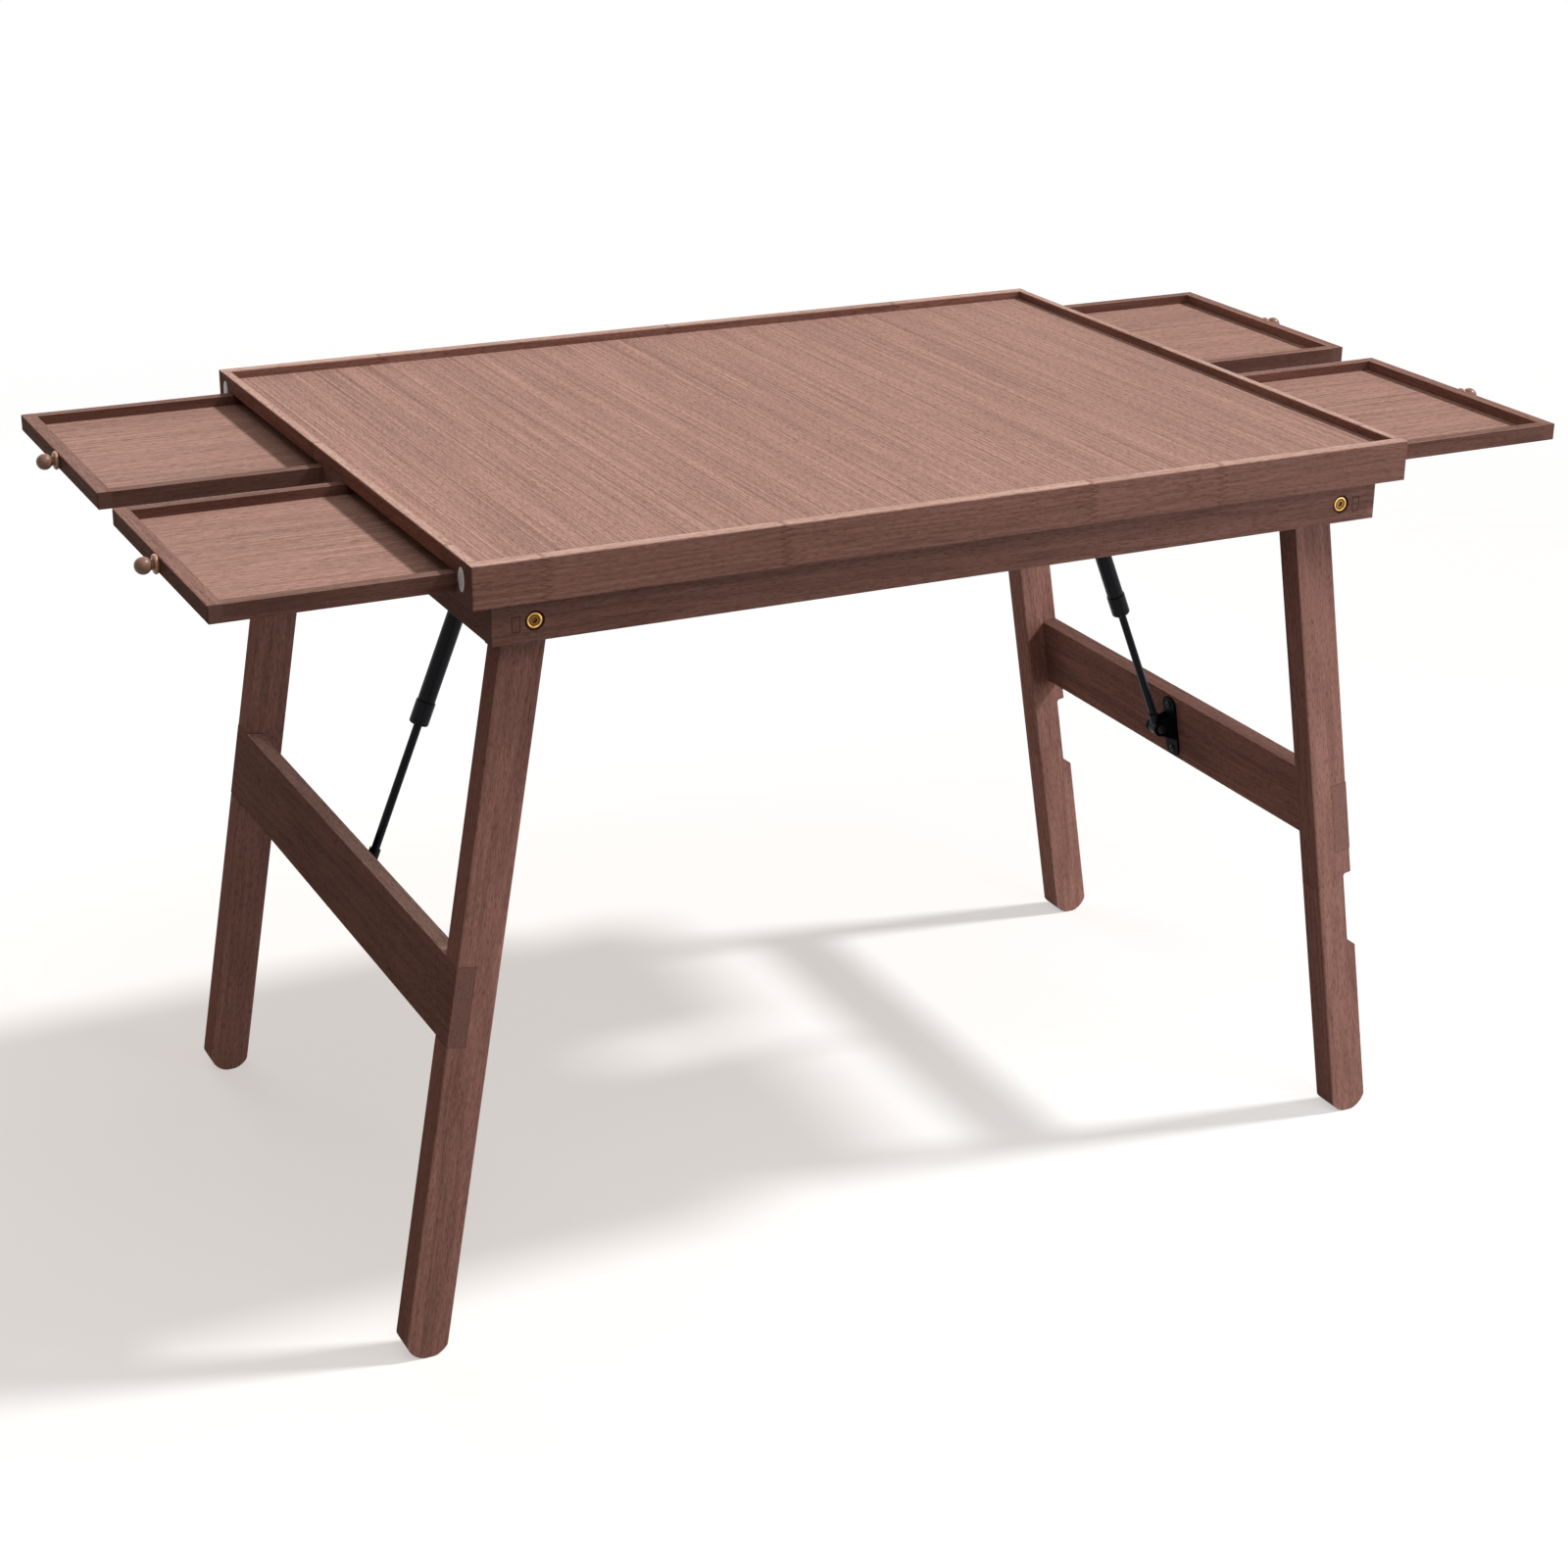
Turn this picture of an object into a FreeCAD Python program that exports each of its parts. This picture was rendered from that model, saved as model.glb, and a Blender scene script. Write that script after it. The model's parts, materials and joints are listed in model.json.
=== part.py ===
"""Folding jigsaw puzzle table: a shallow box with a lipped board, two drawers in each short end and
two splayed leg pairs that fold up under the box, each steadied by a gas strut.

Millimetres. X runs along the table, Y from front to back, Z up. The origin is on the floor under the
middle of the table. The drawers are drawn part way out and the legs stand on the floor.
"""
import FreeCAD, Part
import math
import os

from FreeCAD import Vector

# Overall size
TABLE_LENGTH = 920.0
TABLE_DEPTH = 702.0
TABLE_HEIGHT = 738.0

# Box round the puzzle board
RAIL_THICKNESS = 13.0
END_THICKNESS = 9.0
LIP_HEIGHT = 8.0
BOARD_THICKNESS = 5.5
CORNER_POST = 36.0
CENTRE_POST = 50.0
LEDGE_THICKNESS = 6.7
LEDGE_WIDTH = 11.0
CENTRE_CHANNEL = 40.0
EDGE_ROUND = 1.2
EDGE_EASE = 0.6

# Drawers
DRAWER_PULL = 205.0
TRAY_DEPTH = 9.5
PANEL_THICKNESS = 3.0
PANEL_GROOVE = 4.0
DRAWER_SKIRT = 3.0
DRAWER_FRONT_THICKNESS = 13.0
DRAWER_WALL = 11.0
DRAWER_GAP = 0.5
DRAWER_FLOAT = 0.3
BOARD_CLEARANCE = 1.0
STOP_WIDTH = 35.0
STOP_GAP = 1.0

# Turned drawer knob
KNOB_BALL = 7.5
KNOB_NECK = 4.5
KNOB_NECK_LENGTH = 2.0
KNOB_COLLAR = 8.5
KNOB_COLLAR_LENGTH = 4.0
KNOB_SPIGOT = 3.0
KNOB_SPIGOT_LENGTH = 9.0

# White oval plug on each corner post
PLUG_WIDTH = 16.0
PLUG_HEIGHT = 22.0
PLUG_THICKNESS = 1.2
PLUG_STEM = 3.0
PLUG_STEM_LENGTH = 5.0
PLUG_INSET = 23.0
PLUG_DROP = 17.0

# Apron under the box
APRON_HEIGHT = 38.0
APRON_THICKNESS = 15.0
APRON_INSET_END = 21.0
APRON_INSET_SIDE = 15.0

# Legs
LEG_SPLAY = 9.4
LEG_WIDTH = 39.5
LEG_THICKNESS = 29.0
LEG_EDGE = 1.5
FOOT_EASE = 1.0
FOOT_FLAT = 0.4
FOLD_CLEARANCE = 0.5
STOP_CLEARANCE = 0.3
PAIR_CLEARANCE = 1.0

# Stretcher between the legs of a pair, and the notch that takes the other pair's stretcher
STRETCHER_DROP = 350.0
STRETCHER_HEIGHT = 74.0
STRETCHER_THICKNESS = 17.0
NOTCH_DEPTH = 9.5
NOTCH_GAP = 0.8
NOTCH_FILLET = 3.0

# Pivot hardware
BOLT_RADIUS = 3.0
BOLT_HEAD = 7.5
BOLT_HEAD_HEIGHT = 3.0
BOLT_HEAD_BEVEL = 0.8
BOLT_DISH = 5.0
BOLT_DISH_FLOOR = 3.6
BOLT_DISH_DEPTH = 0.7
BOLT_SOCKET = 5.0
BOLT_SOCKET_DEPTH = 2.3
BOLT_TIP_GAP = 6.0
COUNTERBORE = 8.7
COUNTERBORE_DEPTH = 3.5
SLEEVE_RADIUS = 4.0
SLEEVE_ENTRY = 6.0
NUT_FLANGE = 7.5
NUT_FLANGE_HEIGHT = 2.4
NUT_BEVEL = 1.2
WASHER_RADIUS = 9.0
WASHER_THICKNESS = 1.2
RUN_GAP = 0.3
RUN_FIT = 0.05

# Strut bracket on the stretcher
BRACKET_WIDTH = 22.0
BRACKET_HEIGHT = 68.0
BRACKET_PLATE = 2.5
BRACKET_CORNER = 8.8
BRACKET_LUG_BASE = 30.0
BRACKET_LUG_TIP = 8.5
BRACKET_SCREW_PITCH = 52.0
PIN_RISE = 5.0
PIN_STANDOFF = 18.5
PIN_RADIUS = 3.0
PIN_HEAD = 5.0
PIN_HEAD_HEIGHT = 1.6
PIN_BEVEL = 0.8

# Gas strut
TUBE_LENGTH = 219.5
TUBE_RADIUS = 8.5
TUBE_WALL = 1.5
TUBE_CAP = 3.0
TUBE_NECK = 6.0
TUBE_EYE_SETBACK = 20.0
TUBE_EYE_WIDTH = 10.0
GUIDE_RADIUS = 9.4
GUIDE_LENGTH = 24.0
GUIDE_RING = 6.0
GUIDE_LIP = 2.2
ROD_RADIUS = 4.0
ROD_NECK = 5.5
ROD_NECK_LENGTH = 18.0
ROD_SCREWED = 8.0
PISTON_LENGTH = 8.0
PISTON_REST_GAP = 2.0
PISTON_FIT = 0.1
EYE_RADIUS = 8.0
EYE_WIDTH = 12.0
STUD_RADIUS = 4.0

# Strut anchor under the box
ANCHOR_REACH = 94.4
ANCHOR_DROP = 24.5
ANCHOR_LUG = 3.0
ANCHOR_LUG_WIDTH = 20.0
ANCHOR_PLATE = 2.5
ANCHOR_PLATE_LENGTH = 52.0
ANCHOR_BACK = 14.0
ANCHOR_SCREW_PITCH = 38.0
STUD_GAP = 0.3
LUG_CLEARANCE = 0.5
BLOCK_LENGTH = 60.0
BLOCK_HEIGHT = 20.0

# Pan-head screws of the brackets and anchors
SCREW_HEAD = 4.0
SCREW_HEAD_HEIGHT = 1.6
SCREW_BEVEL = 0.8
SCREW_SHANK = 2.0
SCREW_LENGTH = 9.0

# Heights worked out from the box downwards
BOARD_TOP = TABLE_HEIGHT - LIP_HEIGHT
BOARD_UNDER = BOARD_TOP - BOARD_THICKNESS
WINDOW_TOP = BOARD_UNDER - BOARD_CLEARANCE
DRAWER_TOP = WINDOW_TOP - DRAWER_GAP
DRAWER_HEIGHT = TRAY_DEPTH + PANEL_THICKNESS + DRAWER_SKIRT
DRAWER_BOTTOM = DRAWER_TOP - DRAWER_HEIGHT
LEDGE_TOP = DRAWER_BOTTOM - DRAWER_FLOAT
BOX_BOTTOM = LEDGE_TOP - LEDGE_THICKNESS
APRON_BOTTOM = BOX_BOTTOM - APRON_HEIGHT
PIVOT_Z = BOX_BOTTOM - FOLD_CLEARANCE - LEG_WIDTH / 2

# Places along the table
HALF_LENGTH = TABLE_LENGTH / 2
END_INNER = HALF_LENGTH - END_THICKNESS
APRON_END = HALF_LENGTH - APRON_INSET_END
APRON_END_INNER = APRON_END - APRON_THICKNESS
SPLAY = math.radians(LEG_SPLAY)
PIVOT_X = (APRON_END_INNER - STOP_CLEARANCE - LEG_WIDTH / 2 / math.cos(SPLAY)
           - (PIVOT_Z - APRON_BOTTOM) * math.tan(SPLAY))
DRAWER_OUT = HALF_LENGTH + DRAWER_PULL
DRAWER_FRONT_INNER = DRAWER_OUT - DRAWER_FRONT_THICKNESS
DRAWER_IN = STOP_WIDTH / 2 + STOP_GAP + DRAWER_PULL

# Places from front to back, on the back half
HALF_DEPTH = TABLE_DEPTH / 2
RAIL_INNER = HALF_DEPTH - RAIL_THICKNESS
GUIDE_OUTER = HALF_DEPTH - CORNER_POST
GUIDE_INNER = CENTRE_POST / 2
DRAWER_NEAR = GUIDE_INNER + DRAWER_GAP
DRAWER_FAR = GUIDE_OUTER - DRAWER_GAP
APRON_OUTER = HALF_DEPTH - APRON_INSET_SIDE
APRON_INNER = APRON_OUTER - APRON_THICKNESS
OUTER_PAIR = APRON_INNER - WASHER_THICKNESS - RUN_GAP
INNER_PAIR = OUTER_PAIR - LEG_THICKNESS - PAIR_CLEARANCE

# Leg and strut sizes in the leg's own frame: pivot at the origin, foot down, outer edge towards +X
LEG_HALF = LEG_WIDTH / 2
FOOT_RADIUS = LEG_HALF + FOOT_EASE
FOOT_CENTRE = (PIVOT_Z - FOOT_RADIUS + FOOT_FLAT) / math.cos(SPLAY)
STRETCHER_FACE = LEG_HALF - STRETCHER_THICKNESS
STRETCHER_TOP = -STRETCHER_DROP + STRETCHER_HEIGHT / 2
STRETCHER_FOOT = -STRETCHER_DROP - STRETCHER_HEIGHT / 2
NOTCH_DROP = 2 * PIVOT_X - STRETCHER_DROP
NOTCH_HALF = STRETCHER_HEIGHT / 2 + NOTCH_GAP
PIN_DROP = STRETCHER_DROP - PIN_RISE
PIN_OFFSET = STRETCHER_FACE - PIN_STANDOFF
BRACKET_FACE = STRETCHER_FACE - BRACKET_PLATE
LUG_INNER = EYE_WIDTH / 2 + RUN_GAP
LUG_OUTER = LUG_INNER + BRACKET_PLATE

# Strut pins in the table's frame, on the right-hand side
PIN_X = PIVOT_X + PIN_DROP * math.sin(SPLAY) + PIN_OFFSET * math.cos(SPLAY)
PIN_Z = PIVOT_Z - PIN_DROP * math.cos(SPLAY) + PIN_OFFSET * math.sin(SPLAY)
ANCHOR_X = PIVOT_X - ANCHOR_REACH
ANCHOR_Z = BOX_BOTTOM - ANCHOR_DROP
STRUT_LENGTH = math.hypot(PIN_X - ANCHOR_X, ANCHOR_Z - PIN_Z)
STRUT_LEAN = math.degrees(math.atan2(PIN_X - ANCHOR_X, ANCHOR_Z - PIN_Z))
TUBE_MOUTH = STRUT_LENGTH - TUBE_LENGTH
TUBE_START = TUBE_MOUTH + GUIDE_RING
TUBE_TOP = STRUT_LENGTH - TUBE_EYE_SETBACK
ANCHOR_LUG_INNER = GUIDE_RADIUS + LUG_CLEARANCE
ANCHOR_LUG_OUTER = ANCHOR_LUG_INNER + ANCHOR_LUG

ORIGIN = Vector(0, 0, 0)
AXIS_X = Vector(1, 0, 0)
AXIS_Y = Vector(0, 1, 0)
AXIS_Z = Vector(0, 0, 1)
PAST = 1.0
BOTH = (-1, 1)


def block(x, y, z):
    """A box between pairs of limits, given in either order."""
    low = Vector(min(x), min(y), min(z))
    return Part.makeBox(abs(x[1] - x[0]), abs(y[1] - y[0]), abs(z[1] - z[0]), low)


def bar(radius, start, end):
    """A round bar between two points."""
    along = end.sub(start)
    return Part.makeCylinder(radius, along.Length, start, along)


def upright(radius, low, high):
    """A round bar on the Z axis between two heights."""
    return bar(radius, AXIS_Z * low, AXIS_Z * high)


def crosswise(radius, centre, half):
    """A round bar along Y, as long on both sides of its centre."""
    return bar(radius, centre.sub(AXIS_Y * half), centre.add(AXIS_Y * half))


def wire(path, spot):
    """Close an outline: a point is a straight run to it, ("arc", through, end) an arc to its end."""
    edges = []
    here = path[0]
    for step in path[1:] + path[:1]:
        if step[0] == "arc":
            through, end = step[1:]
            curve = Part.Arc(spot(here), spot(through), spot(end))
        else:
            end = step
            curve = Part.LineSegment(spot(here), spot(end))
        edges.append(curve.toShape())
        here = end
    return Part.Wire(edges)


def prism(path, y_from, y_to):
    """Extrude an outline of (x, z) points along Y."""
    face = Part.Face(wire(path, lambda point: Vector(point[0], y_from, point[1])))
    return face.extrude(AXIS_Y * (y_to - y_from))


def turned(path, origin, direction):
    """Turn an outline of (distance, radius) points about the line from origin along direction."""
    face = Part.Face(wire(path, lambda point: Vector(point[1], 0, point[0])))
    solid = face.revolve(ORIGIN, AXIS_Z, 360)
    solid.Placement = FreeCAD.Placement(origin, FreeCAD.Rotation(AXIS_Z, direction))
    return solid


def eased(board, radius, wanted):
    """Round the edges of a board whose middle point and direction pass a test."""
    picked = []
    for edge in board.Edges:
        middle = edge.valueAt((edge.FirstParameter + edge.LastParameter) / 2)
        run = edge.Vertexes[-1].Point.sub(edge.Vertexes[0].Point)
        if wanted(middle, run):
            picked.append(edge)
    return board.makeFillet(radius, picked)


def mirrored(shape, side):
    """The right-hand shape itself, or its mirror image for the left-hand side."""
    if side > 0:
        return shape
    return shape.mirror(ORIGIN, AXIS_X)


def place_leg(shape, side):
    """Lean a shape of the leg's frame outwards at its pivot on one side of the table."""
    leaned = shape.copy()
    leaned.rotate(ORIGIN, AXIS_Y, -LEG_SPLAY)
    leaned.translate(Vector(PIVOT_X, 0, PIVOT_Z))
    return mirrored(leaned, side)


def place_strut(shape, side):
    """Lean a shape of the strut's frame, pin at the origin and anchor up, onto the bracket pin."""
    leaned = shape.copy()
    leaned.rotate(ORIGIN, AXIS_Y, -STRUT_LEAN)
    leaned.translate(Vector(PIN_X, 0, PIN_Z))
    return mirrored(leaned, side)


def pan_screw(seat, into):
    """A pan-head screw whose head stands on the seat and whose shank runs the way of into."""
    path = [(-SCREW_HEAD_HEIGHT, 0), (-SCREW_HEAD_HEIGHT, SCREW_HEAD - SCREW_BEVEL),
            (-SCREW_HEAD_HEIGHT + SCREW_BEVEL, SCREW_HEAD), (0, SCREW_HEAD), (0, SCREW_SHANK),
            (SCREW_LENGTH, SCREW_SHANK), (SCREW_LENGTH, 0)]
    return turned(path, seat, into)


def screw_hole(seat, into):
    """The clearance hole of such a screw."""
    start = seat.sub(into * PAST)
    return bar(SCREW_SHANK + RUN_FIT, start, seat.add(into * (SCREW_LENGTH + PAST)))


# Box

def rail(front):
    """A full-length rail with softened outer edges; front is -1 for the front and 1 for the back."""
    y = (front * RAIL_INNER, front * HALF_DEPTH)
    board = block((-HALF_LENGTH, HALF_LENGTH), y, (BOX_BOTTOM, TABLE_HEIGHT))

    def outside(middle, run):
        on_face = abs(middle.y) > HALF_DEPTH - EDGE_ROUND / 2
        long_top = abs(run.x) > EDGE_ROUND and middle.z > BOARD_TOP
        return on_face or long_top
    return eased(board, EDGE_ROUND, outside)


def end_board(side):
    """An end board between the rails, with a window for each drawer and holes for the plugs."""
    board = block((END_INNER, HALF_LENGTH), (-RAIL_INNER, RAIL_INNER), (BOX_BOTTOM, TABLE_HEIGHT))

    def outside(middle, run):
        on_face = middle.x > HALF_LENGTH - EDGE_ROUND / 2
        return abs(run.y) > EDGE_ROUND and (on_face or middle.z > BOARD_TOP)
    board = eased(board, EDGE_ROUND, outside)
    through = (END_INNER - PAST, HALF_LENGTH + PAST)
    for row in BOTH:
        board = board.cut(block(through, (row * GUIDE_INNER, row * GUIDE_OUTER), (LEDGE_TOP, WINDOW_TOP)))
        seat = plug_seat(row)
        stem_end = seat.sub(AXIS_X * (PLUG_STEM_LENGTH + RUN_FIT))
        board = board.cut(bar(PLUG_STEM + RUN_FIT, stem_end, seat.add(AXIS_X * PAST)))
    return mirrored(board, side)


def plug_seat(row):
    """Where an oval plug sits on the right-hand end board's outer face."""
    return Vector(HALF_LENGTH, row * (HALF_DEPTH - PLUG_INSET), TABLE_HEIGHT - PLUG_DROP)


def corner_plug(side, row):
    """An oval plug with a softened rim and a round stem."""
    oval = Part.Ellipse(ORIGIN, PLUG_HEIGHT / 2, PLUG_WIDTH / 2).toShape()
    cap = Part.Face(Part.Wire(oval)).extrude(AXIS_Z * PLUG_THICKNESS)
    rim = [edge for edge in cap.Edges if edge.BoundBox.ZMin > PLUG_THICKNESS / 2]
    cap = cap.makeChamfer(PLUG_THICKNESS / 2, rim)
    cap.rotate(ORIGIN, AXIS_Y, 90)
    plug = cap.fuse(bar(PLUG_STEM, ORIGIN, AXIS_X * -PLUG_STEM_LENGTH)).removeSplitter()
    plug.translate(plug_seat(row))
    return mirrored(plug, side)


def puzzle_board():
    """The board that the puzzle is made on, between the rails and the end boards."""
    return block((-END_INNER, END_INNER), (-RAIL_INNER, RAIL_INNER), (BOARD_UNDER, BOARD_TOP))


def runner(row, web_from, web_to, ledge_to):
    """A drawer guide with a ledge under the drawer's edge, in one length between the end boards."""
    along = (-END_INNER, END_INNER)
    web = block(along, (row * web_from, row * web_to), (BOX_BOTTOM, BOARD_UNDER))
    ledge = block(along, (row * web_to, row * ledge_to), (BOX_BOTTOM, LEDGE_TOP))
    return web.fuse(ledge).removeSplitter()


def side_runner(row):
    return runner(row, RAIL_INNER, GUIDE_OUTER, GUIDE_OUTER - LEDGE_WIDTH)


def centre_runner(row):
    return runner(row, CENTRE_CHANNEL / 2, GUIDE_INNER, GUIDE_INNER + LEDGE_WIDTH)


def drawer_stop(row):
    """A batten across the middle of the box, standing on the ledges, where the closed drawers stop."""
    half = STOP_WIDTH / 2
    return block((-half, half), (row * GUIDE_INNER, row * GUIDE_OUTER), (LEDGE_TOP, BOARD_UNDER))


# Apron

def long_apron(front):
    """The front or back apron board, bored and counterbored for its two pivot bolts."""
    y = (front * APRON_INNER, front * APRON_OUTER)
    board = block((-APRON_END, APRON_END), y, (APRON_BOTTOM, BOX_BOTTOM))

    def outside(middle, run):
        below_box = middle.z < BOX_BOTTOM - EDGE_ROUND / 2
        return below_box and abs(middle.y) > APRON_OUTER - EDGE_ROUND / 2
    board = eased(board, EDGE_ROUND, outside)
    inward = AXIS_Y * -front
    for side in BOTH:
        face = Vector(side * PIVOT_X, front * APRON_OUTER, PIVOT_Z)
        start = face.sub(inward * PAST)
        board = board.cut(bar(SLEEVE_RADIUS + RUN_FIT, start, face.add(inward * (APRON_THICKNESS + PAST))))
        board = board.cut(bar(COUNTERBORE, start, face.add(inward * COUNTERBORE_DEPTH)))
    return board


def end_apron(side):
    """An end apron board between the long ones; its lower inner edge is the stop of the open legs."""
    board = block((APRON_END_INNER, APRON_END), (-APRON_INNER, APRON_INNER), (APRON_BOTTOM, BOX_BOTTOM))

    def lower_outside(middle, run):
        return middle.x > APRON_END - EDGE_ROUND / 2 and middle.z < APRON_BOTTOM + EDGE_ROUND / 2
    return mirrored(eased(board, EDGE_ROUND, lower_outside), side)


# Pivot hardware

def pair_outer(side):
    """The outer face of a leg pair from the table's middle plane: the left pair is the outer one."""
    return OUTER_PAIR if side < 0 else INNER_PAIR


def pivot_bolt(side, front):
    """A socket bolt: a dished head in the apron's counterbore and a shank that enters the cap nut."""
    seat = Vector(side * PIVOT_X, front * (APRON_OUTER - COUNTERBORE_DEPTH), PIVOT_Z)
    inward = AXIS_Y * -front
    shank = abs(seat.y) - (pair_outer(side) - LEG_THICKNESS + BOLT_TIP_GAP)
    face = -BOLT_HEAD_HEIGHT
    path = [(face + BOLT_DISH_DEPTH, 0), (face + BOLT_DISH_DEPTH, BOLT_DISH_FLOOR), (face, BOLT_DISH),
            (face, BOLT_HEAD - BOLT_HEAD_BEVEL), (face + BOLT_HEAD_BEVEL, BOLT_HEAD), (0, BOLT_HEAD),
            (0, BOLT_RADIUS), (shank, BOLT_RADIUS), (shank, 0)]
    corner = BOLT_SOCKET / 2 / math.cos(math.pi / 6)
    hexagon = [(corner * math.cos(k * math.pi / 3), corner * math.sin(k * math.pi / 3)) for k in range(6)]
    socket = prism(hexagon, 0, front * (BOLT_SOCKET_DEPTH + PAST))
    socket.translate(seat.sub(inward * (BOLT_HEAD_HEIGHT - BOLT_SOCKET_DEPTH)))
    return turned(path, seat, inward).cut(socket)


def cap_nut(side, front):
    """A long cap nut: its sleeve is the bearing that the leg turns on, its flange keeps the leg in place."""
    inner_face = pair_outer(side) - LEG_THICKNESS - RUN_GAP
    sleeve = APRON_INNER + SLEEVE_ENTRY - inner_face
    bore = BOLT_RADIUS + RUN_FIT
    path = [(-NUT_FLANGE_HEIGHT, 0), (-NUT_FLANGE_HEIGHT, NUT_FLANGE - NUT_BEVEL),
            (-NUT_FLANGE_HEIGHT + NUT_BEVEL, NUT_FLANGE), (0, NUT_FLANGE), (0, SLEEVE_RADIUS),
            (sleeve, SLEEVE_RADIUS), (sleeve, bore), (BOLT_TIP_GAP / 2, bore), (BOLT_TIP_GAP / 2, 0)]
    return turned(path, Vector(side * PIVOT_X, front * inner_face, PIVOT_Z), AXIS_Y * front)


def pivot_packing(side, front):
    """The washer of the outer pair or the long spacer of the inner pair, between apron and leg."""
    hole = SLEEVE_RADIUS + RUN_FIT
    length = APRON_INNER - pair_outer(side) - RUN_GAP
    path = [(0, hole), (0, WASHER_RADIUS), (length, WASHER_RADIUS), (length, hole)]
    return turned(path, Vector(side * PIVOT_X, front * APRON_INNER, PIVOT_Z), AXIS_Y * -front)


# Legs

def leg_blank(near, far):
    """A leg bar with softened long edges, a round head about the pivot and a rounded foot."""
    sole = -FOOT_CENTRE - FOOT_RADIUS
    stick = block((-LEG_HALF, LEG_HALF), (near, far), (sole, LEG_HALF))
    stick = eased(stick, LEG_EDGE, lambda middle, run: abs(run.z) > LEG_WIDTH)
    ankle = -FOOT_CENTRE - math.sqrt(FOOT_RADIUS ** 2 - LEG_HALF ** 2)
    path = [(-LEG_HALF, 0), ("arc", (0, LEG_HALF), (LEG_HALF, 0)), (LEG_HALF, ankle),
            ("arc", (0, sole), (-LEG_HALF, ankle))]
    return stick.common(prism(path, near, far))


def notch(near, far):
    """The cut in an inner leg's outer edge: square and filleted at the top, sloped at the foot end."""
    floor = LEG_HALF - NOTCH_DEPTH
    top = -NOTCH_DROP + NOTCH_HALF
    foot = -NOTCH_DROP - NOTCH_HALF
    bend = NOTCH_FILLET * (1 - math.sqrt(0.5))
    path = [(LEG_HALF + PAST, top), (floor + NOTCH_FILLET, top),
            ("arc", (floor + bend, top - bend), (floor, top - NOTCH_FILLET)),
            (floor, foot), (LEG_HALF + PAST, foot - NOTCH_DEPTH - PAST)]
    return prism(path, near, far)


def leg(side, row):
    """One leg, bored for its pivot, cut for its stretcher and standing on a small flat of its foot."""
    outer = pair_outer(side)
    near, far = row * (outer - LEG_THICKNESS), row * outer
    across = (near - row * PAST, far + row * PAST)
    stick = leg_blank(near, far)
    stick = stick.cut(bar(SLEEVE_RADIUS + RUN_FIT, AXIS_Y * across[0], AXIS_Y * across[1]))
    stick = stick.cut(block((STRETCHER_FACE, LEG_WIDTH), across, (STRETCHER_FOOT, STRETCHER_TOP)))
    if side > 0:
        stick = stick.cut(notch(*across))
    floor = block((-TABLE_LENGTH, TABLE_LENGTH), (-TABLE_DEPTH, TABLE_DEPTH), (-LEG_WIDTH, 0))
    return place_leg(stick, side).cut(floor)


def bracket_screw_seats():
    """Where the bracket's two screws stand on its plate, in the leg's frame."""
    return [Vector(BRACKET_FACE, 0, -STRETCHER_DROP + k * BRACKET_SCREW_PITCH / 2) for k in BOTH]


def stretcher(side):
    """The cross board let into both legs, its ends flush with their outer faces."""
    outer = pair_outer(side)
    board = block((STRETCHER_FACE, LEG_HALF), (-outer, outer), (STRETCHER_FOOT, STRETCHER_TOP))
    board = eased(board, EDGE_EASE, lambda middle, run: abs(run.y) > outer)
    for seat in bracket_screw_seats():
        board = board.cut(screw_hole(seat, AXIS_X))
    return place_leg(board, side)


def strut_bracket(side):
    """A folded steel bracket: a round-ended plate on the stretcher and two lugs that hold the pin."""
    half_width = BRACKET_WIDTH / 2
    half_height = BRACKET_HEIGHT / 2
    bracket = block((BRACKET_FACE, STRETCHER_FACE), (-half_width, half_width),
                    (-STRETCHER_DROP - half_height, -STRETCHER_DROP + half_height))
    bracket = eased(bracket, BRACKET_CORNER, lambda middle, run: abs(run.x) > BRACKET_PLATE / 2)
    half_base = BRACKET_LUG_BASE / 2
    lug = [(STRETCHER_FACE, -STRETCHER_DROP + half_base), (PIN_OFFSET, -PIN_DROP + BRACKET_LUG_TIP),
           ("arc", (PIN_OFFSET - BRACKET_LUG_TIP, -PIN_DROP), (PIN_OFFSET, -PIN_DROP - BRACKET_LUG_TIP)),
           (STRETCHER_FACE, -STRETCHER_DROP - half_base)]
    for row in BOTH:
        bracket = bracket.fuse(prism(lug, row * LUG_INNER, row * LUG_OUTER))
    bracket = bracket.removeSplitter()
    bracket = bracket.cut(crosswise(PIN_RADIUS + RUN_FIT, Vector(PIN_OFFSET, 0, -PIN_DROP), BRACKET_WIDTH))
    for seat in bracket_screw_seats():
        bracket = bracket.cut(screw_hole(seat, AXIS_X))
    return place_leg(bracket, side)


def bracket_screws(side):
    return [place_leg(pan_screw(seat, AXIS_X), side) for seat in bracket_screw_seats()]


def strut_pin(side):
    """The rivet through both lugs, with a round head against each."""
    end = LUG_OUTER + PIN_HEAD_HEIGHT
    rim = end - PIN_BEVEL
    half = [(end, 0), (end, PIN_HEAD - PIN_BEVEL), (rim, PIN_HEAD), (LUG_OUTER, PIN_HEAD),
            (LUG_OUTER, PIN_RADIUS)]
    path = half + [(-distance, radius) for distance, radius in reversed(half)]
    return place_leg(turned(path, Vector(PIN_OFFSET, 0, -PIN_DROP), AXIS_Y), side)


# Gas struts, in a frame with the bracket pin at the origin and the anchor straight up

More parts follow.
